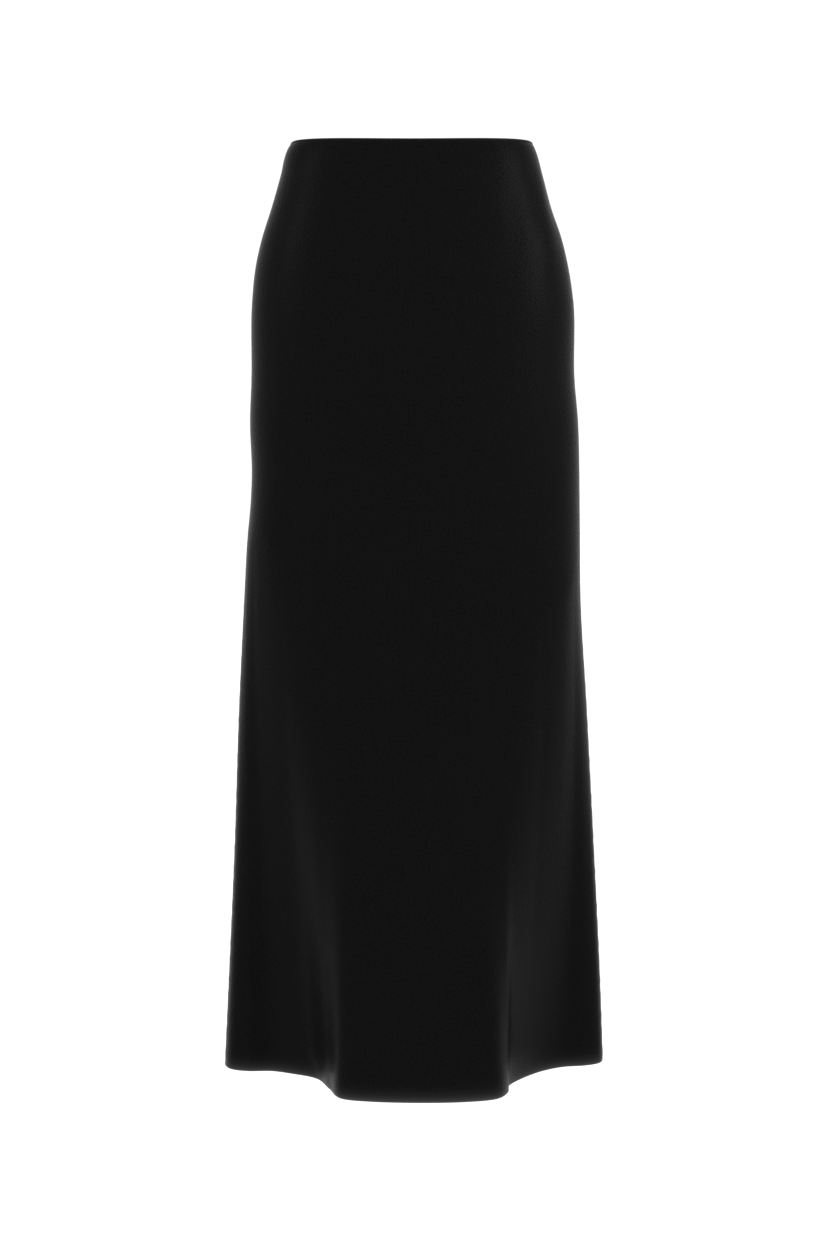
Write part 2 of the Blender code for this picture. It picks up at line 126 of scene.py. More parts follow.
@dataclass(frozen=True)
class HemPoint:
    """A point of the hem seen from above.

    Attributes:
        place: What it is.
        x: Across the skirt.
        forward: In front of the side seams' plane.
        top: How far below the waist the fold that ends here begins.
    """

    place: str
    x: float
    forward: float
    top: float


LEVELS = (
    Level(0.000, 0.1190, -0.0022, 0.0920, 0.0902, 2.70),
    Level(0.008, 0.1231, -0.0026, 0.0935, 0.0924, 2.70),
    Level(0.030, 0.1294, -0.0023, 0.0965, 0.0984, 2.65),
    Level(0.060, 0.1382, -0.0026, 0.1000, 0.1070, 2.60),
    Level(0.092, 0.1488, -0.0022, 0.1040, 0.1165, 2.55),
    Level(0.120, 0.1552, -0.0020, 0.1070, 0.1235, 2.50),
    Level(0.150, 0.1591, -0.0013, 0.1095, 0.1280, 2.45),
    Level(0.230, 0.1605, -0.0010, 0.1135, 0.1310, 2.40),
    Level(0.270, 0.1630, 0.0000, 0.1145, 0.1310, 2.40),
    Level(0.325, 0.1630, 0.0016, 0.1155, 0.1313, 2.40),
    Level(0.350, 0.1637, 0.0012, 0.1160, 0.1315, 2.40),
    Level(0.390, 0.1658, -0.0004, 0.1165, 0.1320, 2.40),
    Level(0.430, 0.1672, -0.0014, 0.1170, 0.1325, 2.40),
    Level(0.560, 0.1750, -0.0010, 0.1205, 0.1360, 2.40),
    Level(0.700, 0.1823, 0.0004, 0.1250, 0.1400, 2.40),
    Level(0.830, 0.1896, 0.0008, 0.1290, 0.1440, 2.40),
    Level(0.925, 0.1945, 0.0004, 0.1320, 0.1470, 2.40),
)

FRONT_HEM = (
    HemPoint("left side seam", -0.1925, -0.030, 0.42),
    HemPoint("left side fold, front corner", -0.1845, -0.009, 0.40),
    HemPoint("left side fold, front face", -0.1680, 0.000, 0.40),
    HemPoint("left trough", -0.1440, 0.000, 0.38),
    HemPoint("left trough, rising", -0.1230, 0.013, 0.38),
    HemPoint("left flank, foot", -0.0985, 0.035, 0.40),
    HemPoint("left flank, middle", -0.0835, 0.084, 0.44),
    HemPoint("left flank, shoulder", -0.0700, 0.129, 0.44),
    HemPoint("front, left", -0.0400, 0.142, 0.44),
    HemPoint("front, middle", 0.0080, 0.147, 0.44),
    HemPoint("front, right", 0.0500, 0.143, 0.46),
    HemPoint("right fold, shoulder", 0.0800, 0.130, 0.50),
    HemPoint("right fold, edge", 0.0920, 0.101, 0.54),
    HemPoint("right fold, tucked side", 0.0930, 0.074, 0.52),
    HemPoint("right fold, foot", 0.1080, 0.036, 0.46),
    HemPoint("right trough, falling", 0.1310, -0.001, 0.44),
    HemPoint("right trough", 0.1520, -0.020, 0.42),
    HemPoint("right side fold, front face", 0.1740, -0.027, 0.42),
    HemPoint("right side fold, front corner", 0.1885, -0.038, 0.42),
    HemPoint("right side seam", 0.1940, -0.055, 0.42),
)
BACK_RIGHT_HEM = (
    HemPoint("right side seam", 0.1940, -0.055, 0.42),
    HemPoint("right side fold, back corner", 0.1900, -0.086, 0.42),
    HemPoint("right side fold, back face", 0.1700, -0.105, 0.40),
    HemPoint("right back trough", 0.1440, -0.106, 0.38),
    HemPoint("right back flank, foot", 0.1230, -0.118, 0.40),
    HemPoint("right back flank, middle", 0.1120, -0.150, 0.42),
    HemPoint("right back fold", 0.0950, -0.179, 0.44),
    HemPoint("right back fold, crown", 0.0660, -0.188, 0.46),
    HemPoint("right back fold, inner side", 0.0370, -0.176, 0.46),
    HemPoint("right of the centre-back seam", 0.0160, -0.154, 0.46),
    HemPoint("centre-back seam", 0.0000, -0.149, 0.48),
)
BACK_LEFT_HEM = (
    HemPoint("centre-back seam", 0.0000, -0.149, 0.48),
    HemPoint("left of the centre-back seam", -0.0170, -0.156, 0.46),
    HemPoint("left back fold, inner side", -0.0390, -0.180, 0.44),
    HemPoint("left back fold, crown", -0.0700, -0.191, 0.44),
    HemPoint("left back fold", -0.0970, -0.178, 0.42),
    HemPoint("left back flank, middle", -0.1130, -0.146, 0.40),
    HemPoint("left back flank, foot", -0.1290, -0.112, 0.38),
    HemPoint("left back trough", -0.1530, -0.098, 0.38),
    HemPoint("left side fold, back face", -0.1750, -0.090, 0.40),
    HemPoint("left side fold, back corner", -0.1895, -0.066, 0.42),
    HemPoint("left side seam", -0.1925, -0.030, 0.42),
)


def between(start: Value, end: Value, leave: Value, arrive: Value, t: float) -> Value:
    """Go smoothly from one value or point to the next.

    Args:
        start: Where it starts.
        end: Where it ends.
        leave: Its rate at the start.
        arrive: Its rate at the end.
        t: How far along it is, from 0 to 1.

    Returns:
        The value or point there.
    """
    return (
        start * (1 + 2 * t) * (1 - t) ** 2
        + leave * t * (1 - t) ** 2
        + end * t * t * (3 - 2 * t)
        - arrive * t * t * (1 - t)
    )


def smooth_read(knots: Sequence[float], values: Sequence[float], at: float) -> float:
    """Read a table on a smooth curve through all its rows.

    Args:
        knots: Rising places of the rows.
        values: The rows' values.
        at: Place to read.

    Returns:
        The value there.
    """
    places = np.asarray(knots, dtype=float)
    heights = np.asarray(values, dtype=float)
    spans = np.diff(places)
    rates = np.diff(heights) / spans
    slopes = np.concatenate((
        [rates[0]],
        (rates[:-1] * spans[1:] + rates[1:] * spans[:-1]) / (spans[:-1] + spans[1:]),
        [rates[-1]],
    ))
    row = int(np.clip(np.searchsorted(places, at) - 1, 0, len(spans) - 1))
    span = spans[row]
    return float(between(heights[row], heights[row + 1], slopes[row] * span,
                         slopes[row + 1] * span, (at - places[row]) / span))


def smooth_step(value: Value) -> Array:
    """Rise smoothly from 0 to 1 as the value goes from 0 to 1."""
    t = np.clip(value, 0.0, 1.0)
    return t * t * (3 - 2 * t)


def along(points: Array, shares: Array) -> Array:
    """Read places along a polyline.

    Args:
        points: Its points, seen from above.
        shares: Of its length, at which it is read.

    Returns:
        The places there.
    """
    steps = np.hypot(*np.diff(points, axis=0).T)
    travelled = np.concatenate(([0.0], np.cumsum(steps)))
    distances = np.asarray(shares) * travelled[-1]
    return np.column_stack([np.interp(distances, travelled, points[:, axis]) for axis in (0, 1)])


@dataclass(frozen=True)
class SkirtForm:
    """The shape that the skirt hangs in on its wearer, as part.py has it: body sections above,
    folds below.

    Attributes:
        length: Centre-front waist edge to hem.
        side_rise: How much higher the waist edge is at the sides than in front.
        rise_fade: Drop at which that rise has died away.
        fold_power: How slowly a fold starts on its way down to the hem.
        half_steps: Points round half a level section.
        span_steps: Steps of the hem curve between two hem points.
    """

    length: float = 0.925
    side_rise: float = 0.0035
    rise_fade: float = 0.060
    fold_power: float = 1.25
    half_steps: int = 361
    span_steps: int = 24

    def level(self, drop: float) -> Level:
        """Read the level section at one height.

        Args:
            drop: Below the waist edge.

        Returns:
            The section.
        """
        drops = [level.drop for level in LEVELS]
        names = ("half_width", "shift", "front", "back", "squareness")
        return Level(drop, *(
            smooth_read(drops, [getattr(level, name) for level in LEVELS], drop) for name in names
        ))

    def body_half(self, level: Level, on_front: bool) -> Array:
        """Draw half of a level section.

        Args:
            level: The section.
            on_front: Whether it is the front half.

        Returns:
            Its points, from its -X side to its +X side.
        """
        depth = level.front if on_front else -level.back
        angles = np.linspace(math.pi, 0.0, self.half_steps)
        power = 2.0 / level.squareness
        cosines = np.cos(angles)
        x = level.shift + level.half_width * np.sign(cosines) * np.abs(cosines) ** power
        return np.column_stack((x, depth * np.sin(angles).clip(0.0) ** power))

    def hem_loop(self) -> tuple[Array, list[int]]:
        """Draw the hem through all hem points.

        Returns:
            The curve's points, the first one not repeated, and at which of them each hem point is.
        """
        ring = FRONT_HEM[:-1] + BACK_RIGHT_HEM[:-1] + BACK_LEFT_HEM[:-1]
        points = np.array([(point.x, point.forward) for point in ring])
        before = np.roll(points, 1, axis=0)
        after = np.roll(points, -1, axis=0)
        gap_before = np.sqrt(np.linalg.norm(points - before, axis=1))[:, None]
        gap_after = np.sqrt(np.linalg.norm(after - points, axis=1))[:, None]
        slopes = (
            (points - before) / gap_before * gap_after + (after - points) / gap_after * gap_before
        ) / (gap_before + gap_after)
        curve = []
        for i, start in enumerate(points):
            j = (i + 1) % len(points)
            leave, arrive = slopes[i] * gap_after[i], slopes[j] * gap_after[i]
            curve += [
                between(start, points[j], leave, arrive, step / self.span_steps)
                for step in range(self.span_steps)
            ]
        return np.array(curve), [i * self.span_steps for i in range(len(points))]

    def cut(self) -> dict[str, "Gore"]:
        """Cut the form into gores at its seams.

        Returns:
            The three gores, by name.
        """
        curve, marks = self.hem_loop()
        closed = np.vstack((curve, curve[:1]))
        right_seam = marks[len(FRONT_HEM) - 1]
        back_seam = marks[len(FRONT_HEM) + len(BACK_RIGHT_HEM) - 2]
        return {
            "front": Gore(self, FRONT_HEM, closed[: right_seam + 1], True, (0.0, 1.0)),
            "right": Gore(self, BACK_RIGHT_HEM, closed[right_seam: back_seam + 1], False,
                          (0.0, 0.5)),
            "left": Gore(self, BACK_LEFT_HEM, closed[back_seam:], False, (0.5, 1.0)),
        }


class Gore:
    """The stretch of the form between two seams.

    A share runs from 0 at its first seam to 1 at its last: from -X to +X in front, and from +X to
    -X at the back.
    """

    share_step: float = 0.002     # how far to each side a slope round the body is read
    drop_step: float = 0.0005     # how far above and below a slope down the cloth is read
    width_points: int = 81        # points on which a width is measured

    def __init__(self, form: SkirtForm, hem_points: Sequence[HemPoint], hem_curve: Array,
                 on_front: bool, stretch: Pair) -> None:
        """Cut a gore.

        Args:
            form: The skirt's form.
            hem_points: Its hem points, from its first seam to its last.
            hem_curve: Its stretch of the hem curve.
            on_front: Whether it lies in front of the side seams.
            stretch: Its first and last share of the front or back half.
        """
        self.form = form
        self.hem_curve = hem_curve
        self.on_front = on_front
        self.stretch = stretch
        steps = np.hypot(*np.diff(hem_curve, axis=0).T)
        travelled = np.concatenate(([0.0], np.cumsum(steps))) / steps.sum()
        nearest = [
            int(np.argmin(np.hypot(*(hem_curve - (point.x, point.forward)).T)))
            for point in hem_points
        ]
        self.mark_shares = travelled[nearest]
        self.mark_tops = np.array([point.top for point in hem_points])

    def body(self, shares: Array, level: Level) -> Array:
        """Read the form's body section, which has no hem folds.

        Args:
            shares: Of the gore.
            level: The section.

        Returns:
            Its places at those shares, seen from above.
        """
        half = self.form.body_half(level, self.on_front)
        if not self.on_front:
            half = half[::-1]
        first, last = self.stretch
        return along(half, first + (last - first) * shares)

    def plan(self, shares: Array, drop: float) -> Array:
        """Read the cloth's outer face at one height, seen from above.

        Args:
            shares: Of the gore.
            drop: Below the waist edge.

        Returns:
            The x of each place and how far forward it is.
        """
        form = self.form
        tops = np.interp(shares, self.mark_shares, self.mark_tops)
        grown = ((drop - tops) / (form.length - tops)).clip(0.0) ** form.fold_power
        fold = along(self.hem_curve, shares) - self.body(shares, form.level(form.length))
        return self.body(shares, form.level(drop)) + grown[:, None] * fold

    def share_at(self, x: float, drop: float) -> float:
        """Find the share of the gore at which its cloth lies at an x.

        Args:
            x: Across the skirt.
            drop: Below the waist edge, and above the deep folds.

        Returns:
            The share.
        """
        shares = np.linspace(0, 1, self.width_points)
        places = self.plan(shares, drop)[:, 0]
        order = np.argsort(places)
        return float(np.interp(x, places[order], shares[order]))

    def width(self, drop: float) -> float:
        """Length of the gore round the body at a drop."""
        points = self.plan(np.linspace(0, 1, self.width_points), drop)
        return float(np.hypot(*np.diff(points, axis=0).T).sum())

    def surface(self, shares: Array, drop: float) -> Array:
        """Read the cloth's outer face at one height.

        Args:
            shares: Of the gore.
            drop: Below the waist edge.

        Returns:
            Its points.
        """
        form = self.form
        places = self.plan(shares, drop)
        level = form.level(drop)
        rise = form.side_rise * max(0.0, 1.0 - drop / form.rise_fade)
        if self.on_front:
            across = np.abs((places[:, 0] - level.shift) / level.half_width).clip(0.0, 1.0)
            heights = -drop + rise * across ** 2
        else:
            heights = np.full(len(places), -drop + rise)
        return np.column_stack((places[:, 0], -places[:, 1], heights))

    def inwards(self, shares: Array, drop: float) -> Array:
        """Find the way into the skirt.

        Args:
            shares: Of the gore.
            drop: Below the waist edge.

        Returns:
            Unit vectors, square to the cloth.
        """
        low = (shares - self.share_step).clip(0.0, 1.0)
        high = (shares + self.share_step).clip(0.0, 1.0)
        round_body = self.surface(high, drop) - self.surface(low, drop)
        above = self.surface(shares, max(0.0, drop - self.drop_step))
        below = self.surface(shares, min(self.form.length, drop + self.drop_step))
        normals = np.cross(round_body, below - above)
        return normals / np.linalg.norm(normals, axis=1)[:, None]

    def layer(self, shares: Array, drop: float, depths: Value) -> Array:
        """Points that far below the outer face, towards the inside of the skirt."""
        depth_column = np.broadcast_to(depths, shares.shape)[:, None]
        return self.surface(shares, drop) + self.inwards(shares, drop) * depth_column

    def seat(self, share: float, drop: float, depth: float) -> Matrix:
        """A frame on the cloth for a small piece.

        Args:
            share: Of the gore.
            drop: Below the waist edge.
            depth: Below the outer face.

        Returns:
            The frame: X goes round the body, Y out of the skirt and Z up along the cloth.
        """
        shares = np.array([share])
        place = Vector(self.layer(shares, drop, depth)[0])
        out = -Vector(self.inwards(shares, drop)[0])
        above = Vector(self.surface(shares, max(0.0, drop - self.drop_step))[0])
        below = Vector(self.surface(shares, drop + self.drop_step)[0])
        up = (above - below).normalized()
        across = out.cross(up).normalized()
        seat = Matrix((across, out, up)).transposed().to_4x4()
        seat.translation = place
        return seat


# ------------------------------------------------------------------ finishes
def linear(hex_colour: str) -> tuple[float, float, float, float]:
    """Turn an sRGB colour into a linear one.

    Args:
        hex_colour: Such as "#0a0a0b".

    Returns:
        Blender's linear RGBA.
    """
    channels = [int(hex_colour[i: i + 2], 16) / 255 for i in (1, 3, 5)]
    shades = [c / 12.92 if c <= 0.04045 else ((c + 0.055) / 1.055) ** 2.4 for c in channels]
    return (*shades, 1.0)


def add_node(tree: Tree, kind: str, feeds: dict | None = None,
             **settings: object) -> bpy.types.Node:
    """Add a node with its settings and links.

    Args:
        tree: Node tree that gets it.
        kind: Blender's name of the node type, after its ShaderNode.
        feeds: For an input, by name or number, a constant or the output socket that feeds it.
        **settings: The node's own properties.

    Returns:
        The new node.
    """
    node = tree.nodes.new(f"ShaderNode{kind}")
    for name, value in settings.items():
        setattr(node, name, value)
    for socket, value in (feeds or {}).items():
        if isinstance(value, Socket):
            tree.links.new(value, node.inputs[socket])
        else:
            node.inputs[socket].default_value = value
    return node


def feed(shader: bpy.types.Node, **sockets: Socket) -> None:
    """Link outputs to a shader's colour, roughness or normal.

    Args:
        shader: Of a material.
        **sockets: What feeds each of them.
    """
    names = {"colour": "Base Color", "roughness": "Roughness", "normal": "Normal"}
    for name, source in sockets.items():
        shader.id_data.links.new(source, shader.inputs[names[name]])


def start_material(name: str, constants: dict[str, object]
                   ) -> tuple[Material, Tree, bpy.types.Node]:
    """Start a material with one Principled shader.

    Args:
        name: The material's name.
        constants: Values of the shader's own sockets.

    Returns:
        The material, its node tree and the shader.
    """
    material = bpy.data.materials.new(name)
    material.use_nodes = True
    tree = material.node_tree
    shader = next(node for node in tree.nodes if node.type == "BSDF_PRINCIPLED")
    for socket, value in constants.items():
        shader.inputs[socket].default_value = value
    return material, tree, shader


@dataclass(frozen=True)
class CrepeFinish:
    """Heavy crepe, woven from hard-twisted yarn and given a black dye.

    The twist throws up small uneven pebbles, which make the cloth dull and deep black face on. It
    catches light only where it turns away from the eye, as a soft pale rim, and for that it has a
    weak reflection that isn't very rough.
    """

    name: str = "woven_black_crepe"
    # the raised pebbles are drawn lighter than the ground between them: partly wear, partly a
    # painted sheen on their crowns
    ground: str = "#0c0c0c"
    raised: str = "#101010"
    # lighter colour on the hem, the waist fold and the seams: partly wear, partly a painted sheen
    # for the pale band of light along the hem
    rubbed_and_sheen: str = "#444444"
    pebble: float = 0.0024        # the real one is about 0.9 mm, too fine for the render
    pebble_edge: Pair = (0.65, 0.10)     # shape distances of its foot and crown
    pebble_height: float = 0.00016
    slub_across: float = 0.0016   # warp yarns are 0.4 mm apart, drawn as streaks of four
    slub_along: float = 0.040
    slub_weight: float = 0.6      # their height, as a share of a pebble's
    cloud: float = 0.120          # how far apart the cloth's dye drifts in depth
    cloud_weight: float = 0.5     # how much that counts beside the pebbles
    prick_pitch: float = 0.008    # blind stitches of the hem
    prick_level: float = -0.8905  # where they come through, on the cloth map
    prick_radius: float = 0.0009
    prick_depth: float = 1.6      # as a share of a pebble's height
    roughness: Pair = (0.28, 0.34)
    specular: float = 0.009

    def make(self) -> Material:
        """Build the material.

        Returns:
            The material.
        """
        material, tree, shader = start_material(self.name, {"Specular IOR Level": self.specular})
        cloth = add_node(tree, "UVMap", uv_map=CLOTH_MAP).outputs["UV"]
        pebbles = add_node(tree, "TexVoronoi", {
            "Vector": cloth, "Scale": 1 / self.pebble, "Randomness": 0.95, "Smoothness": 0.6,
        }, voronoi_dimensions="2D", feature="SMOOTH_F1")
        stretched = add_node(tree, "VectorMath", {
            0: cloth, 1: (1 / self.slub_across, 1 / self.slub_along, 1.0),
        }, operation="MULTIPLY")
        slubs = add_node(tree, "TexNoise", {
            "Vector": stretched.outputs[0], "Scale": 1.0, "Detail": 2.0, "Roughness": 0.5,
        }, noise_dimensions="2D")
        clouds = add_node(tree, "TexNoise", {
            "Vector": cloth, "Scale": 1 / self.cloud, "Detail": 3.0, "Roughness": 0.55,
        }, noise_dimensions="2D")
        grain = add_node(tree, "MapRange", {
            "Value": pebbles.outputs["Distance"], "From Min": self.pebble_edge[0],
            "From Max": self.pebble_edge[1],
        })
        height = add_node(tree, "Math", {
            0: slubs.outputs["Fac"], 1: self.slub_weight, 2: grain.outputs["Result"],
        }, operation="MULTIPLY_ADD")
        pricked = add_node(tree, "Math", {
            0: height.outputs[0], 1: self.pricks(tree, cloth),
        }, operation="SUBTRACT")
        bump = add_node(tree, "Bump", {
            "Height": pricked.outputs[0], "Strength": 0.8, "Distance": self.pebble_height,
        })
        depth = add_node(tree, "Math", {
            0: clouds.outputs["Fac"], 1: self.cloud_weight, 2: -self.cloud_weight / 2,
        }, operation="MULTIPLY_ADD")
        lifted = add_node(tree, "Math", {
            0: height.outputs[0], 1: depth.outputs[0],
        }, operation="ADD", use_clamp=True)
        # Random dye drift plus the pebbles' lighter crowns, which are partly wear and partly
        # painted sheen.
        dye_wear_and_sheen = add_node(tree, "Mix", {
            "Factor": lifted.outputs[0], 6: linear(self.ground), 7: linear(self.raised),
        }, data_type="RGBA")
        # Where wear_and_sheen is high the crepe is drawn lighter: partly wear, partly a painted
        # sheen.
        wear_and_sheen = add_node(tree, "Attribute", attribute_name=WEAR_AND_SHEEN)
        rubbed_and_sheen = add_node(tree, "Mix", {
            "Factor": wear_and_sheen.outputs["Fac"], 6: dye_wear_and_sheen.outputs[2], 7: linear(self.rubbed_and_sheen),
        }, data_type="RGBA")
        dull = add_node(tree, "MapRange", {
            "Value": height.outputs[0], "To Min": self.roughness[1], "To Max": self.roughness[0],
        })
        feed(shader, colour=rubbed_and_sheen.outputs[2], roughness=dull.outputs["Result"],
             normal=bump.outputs["Normal"])
        return material

    def pricks(self, tree: Tree, cloth: Socket) -> Socket:
        """Dimples where the hem's blind stitches come through the cloth.

        Args:
            tree: The material's node tree.
            cloth: The cloth map.

        Returns:
            The dimples' depth, from 0 to 1.
        """
        parts = add_node(tree, "SeparateXYZ", {0: cloth})
        nearest = add_node(tree, "Math", {
            0: parts.outputs["X"], 1: self.prick_pitch / 2,
        }, operation="PINGPONG")
        away = add_node(tree, "Math", {
            0: parts.outputs["Y"], 1: self.prick_level,
        }, operation="SUBTRACT")
        offset = add_node(tree, "CombineXYZ", {
            "X": nearest.outputs[0], "Y": away.outputs[0],
        })
        reach = add_node(tree, "VectorMath", {0: offset.outputs[0]}, operation="LENGTH")
        dimple = add_node(tree, "MapRange", {
            "Value": reach.outputs["Value"], "From Min": 0.0, "From Max": self.prick_radius,
            "To Min": self.prick_depth, "To Max": 0.0,
        }, interpolation_type="SMOOTHSTEP")
        return dimple.outputs["Result"]


@dataclass(frozen=True)
class ThreadFinish:
    """Corespun polyester sewing thread in black: two plies twisted together, with a dull gloss."""

    name: str = "twisted_black_thread"
    ply: str = "#161617"
    # darker colour in the groove between the plies is painted shade
    groove: str = "#070708"
    twist: float = 0.0009         # drawn coarse: a real ply repeats every 0.5 mm
    groove_depth: float = 0.00008
    roughness: float = 0.55
    specular: float = 0.30
    sheen: Pair = (0.15, 0.4)            # its weight and roughness

    def make(self) -> Material:
        """Build the material.

        Returns:
            The material.
        """
        material, tree, shader = start_material(self.name, {
            "Roughness": self.roughness, "Specular IOR Level": self.specular,
            "Sheen Weight": self.sheen[0], "Sheen Roughness": self.sheen[1],
        })
        place = add_node(tree, "TexCoord").outputs["Object"]
        twist = add_node(tree, "TexWave", {
            "Vector": place, "Scale": 1 / (math.tau * self.twist), "Distortion": 0.4,
        }, wave_type="BANDS", bands_direction="DIAGONAL")
        # Painted shade: the groove between the plies is drawn darker than the plies.
        colour = add_node(tree, "Mix", {
            "Factor": twist.outputs["Fac"], 6: linear(self.groove), 7: linear(self.ply),
        }, data_type="RGBA")
        bump = add_node(tree, "Bump", {
            "Height": twist.outputs["Fac"], "Strength": 0.5, "Distance": self.groove_depth,
        })
        feed(shader, colour=colour.outputs[2], normal=bump.outputs["Normal"])
        return material


@dataclass(frozen=True)
class OverlockFinish:
    """Bulked overlock threads looped over a cut edge: fine slanting loops side by side."""

    name: str = "overlock_thread"
    loop_colour: str = "#19191b"
    # darker colour in the gaps between the loops is painted shade
    gap_colour: str = "#080809"
    loop_pitch: float = 0.0024    # loops are 1.6 mm apart, drawn a little coarser
    loop_height: float = 0.00025
    slant: float = 0.45
    roughness: float = 0.7
    specular: float = 0.20
    sheen: Pair = (0.12, 0.4)            # its weight and roughness

    def make(self) -> Material:
        """Build the material.

        Returns:
            The material.
        """
        material, tree, shader = start_material(self.name, {
            "Roughness": self.roughness, "Specular IOR Level": self.specular,
            "Sheen Weight": self.sheen[0], "Sheen Roughness": self.sheen[1],
        })
        cloth = add_node(tree, "UVMap", uv_map=CLOTH_MAP).outputs["UV"]
        parts = add_node(tree, "SeparateXYZ", {0: cloth})
        leaned = add_node(tree, "Math", {
            0: parts.outputs["X"], 1: self.slant, 2: parts.outputs["Y"],
        }, operation="MULTIPLY_ADD")
        loops = add_node(tree, "Math", {
            0: leaned.outputs[0], 1: self.loop_pitch / 2,
        }, operation="PINGPONG")
        ridge = add_node(tree, "MapRange", {
            "Value": loops.outputs[0], "From Max": self.loop_pitch / 2,
        }, interpolation_type="SMOOTHSTEP")
        # Painted shade: the gaps between the loops are drawn darker than the loops.
        colour = add_node(tree, "Mix", {
            "Factor": ridge.outputs["Result"], 6: linear(self.gap_colour),
            7: linear(self.loop_colour),
        }, data_type="RGBA")
        bump = add_node(tree, "Bump", {
            "Height": ridge.outputs["Result"], "Strength": 0.9, "Distance": self.loop_height,
        })
        feed(shader, colour=colour.outputs[2], normal=bump.outputs["Normal"])
        return material


@dataclass(frozen=True)
class TapeFinish:
    """Woven polyester zip tape in black, with the herringbone twill that such tapes have."""

    name: str = "herringbone_zip_tape"
    warp: str = "#141415"
    weft: str = "#080809"
    repeat: float = 0.0030        # width of one chevron
    twill: float = 0.0011         # twill lines are 0.6 mm apart, drawn coarser to show
    twill_height: float = 0.00012
    roughness: float = 0.62
    specular: float = 0.25
    sheen: Pair = (0.10, 0.35)           # its weight and roughness

    def make(self) -> Material:
        """Build the material.

        Returns:
            The material.
        """
        material, tree, shader = start_material(self.name, {
            "Roughness": self.roughness, "Specular IOR Level": self.specular,
            "Sheen Weight": self.sheen[0], "Sheen Roughness": self.sheen[1],
        })
        cloth = add_node(tree, "UVMap", uv_map=CLOTH_MAP).outputs["UV"]
        parts = add_node(tree, "SeparateXYZ", {0: cloth})
        chevron = add_node(tree, "Math", {
            0: parts.outputs["X"], 1: self.repeat / 2,
        }, operation="PINGPONG")
        climbed = add_node(tree, "Math", {
            0: chevron.outputs[0], 1: parts.outputs["Y"],
        }, operation="ADD")
        lines = add_node(tree, "Math", {
            0: climbed.outputs[0], 1: self.twill / 2,
        }, operation="PINGPONG")
        ridge = add_node(tree, "MapRange", {
            "Value": lines.outputs[0], "From Max": self.twill / 2,
        }, interpolation_type="SMOOTHSTEP")
        colour = add_node(tree, "Mix", {
            "Factor": ridge.outputs["Result"], 6: linear(self.weft), 7: linear(self.warp),
        }, data_type="RGBA")
        bump = add_node(tree, "Bump", {
            "Height": ridge.outputs["Result"], "Strength": 0.7, "Distance": self.twill_height,
        })
        feed(shader, colour=colour.outputs[2], normal=bump.outputs["Normal"])
        return material


@dataclass(frozen=True)
class CoilFinish:
    """Polyester monofilament wound and heat-set into a zip coil: smooth, hard and half glossy."""

    name: str = "moulded_zip_coil"
    colour: str = "#0d0d0e"
    scuffed: str = "#1c1c1e"
    scuff: float = 0.006          # how far apart the slider's scuffs drift
    roughness: Pair = (0.26, 0.42)
    ior: float = 1.53
    specular: float = 0.4

    def make(self) -> Material:
        """Build the material.

        Returns:
            The material.
        """
        material, tree, shader = start_material(self.name, {
            "IOR": self.ior, "Specular IOR Level": self.specular,
        })
        place = add_node(tree, "TexCoord").outputs["Object"]
        scuffs = add_node(tree, "TexNoise", {
            "Vector": place, "Scale": 1 / self.scuff, "Detail": 4.0, "Roughness": 0.6,
        })
        colour = add_node(tree, "Mix", {
            "Factor": scuffs.outputs["Fac"], 6: linear(self.colour), 7: linear(self.scuffed),
        }, data_type="RGBA")
        dull = add_node(tree, "MapRange", {
            "Value": scuffs.outputs["Fac"], "To Min": self.roughness[0],
            "To Max": self.roughness[1],
        })
        feed(shader, colour=colour.outputs[2], roughness=dull.outputs["Result"])
        return material


@dataclass(frozen=True)
class LacquerFinish:
    """Zinc die casting under stove lacquer in black: a smooth film with a faint orange peel."""

    name: str = "black_stove_lacquer"
    colour: str = "#101011"
    thin: str = "#1b1b1d"         # where the film is thinner, towards places where it wears
    peel: float = 0.0011          # orange peel, drawn a little coarse
    peel_height: float = 0.00005
    drift: float = 0.0055         # how far apart the film's thickness drifts
    roughness: Pair = (0.24, 0.36)
    specular: float = 0.4
    coat: Pair = (0.6, 0.12)             # its weight and roughness

    def make(self) -> Material:
        """Build the material.

        Returns:
            The material.
        """
        material, tree, shader = start_material(self.name, {
            "Specular IOR Level": self.specular,
            "Coat Weight": self.coat[0], "Coat Roughness": self.coat[1],
        })
        place = add_node(tree, "TexCoord").outputs["Object"]
        peel = add_node(tree, "TexNoise", {
            "Vector": place, "Scale": 1 / self.peel, "Detail": 1.0,
        })
        drift = add_node(tree, "TexNoise", {
            "Vector": place, "Scale": 1 / self.drift, "Detail": 3.0,
        })
        colour = add_node(tree, "Mix", {
            "Factor": drift.outputs["Fac"], 6: linear(self.colour), 7: linear(self.thin),
        }, data_type="RGBA")
        dull = add_node(tree, "MapRange", {
            "Value": drift.outputs["Fac"], "To Min": self.roughness[0],
            "To Max": self.roughness[1],
        })
        bump = add_node(tree, "Bump", {
            "Height": peel.outputs["Fac"], "Strength": 0.15, "Distance": self.peel_height,
        })
        feed(shader, colour=colour.outputs[2], roughness=dull.outputs["Result"],
             normal=bump.outputs["Normal"])
        return material


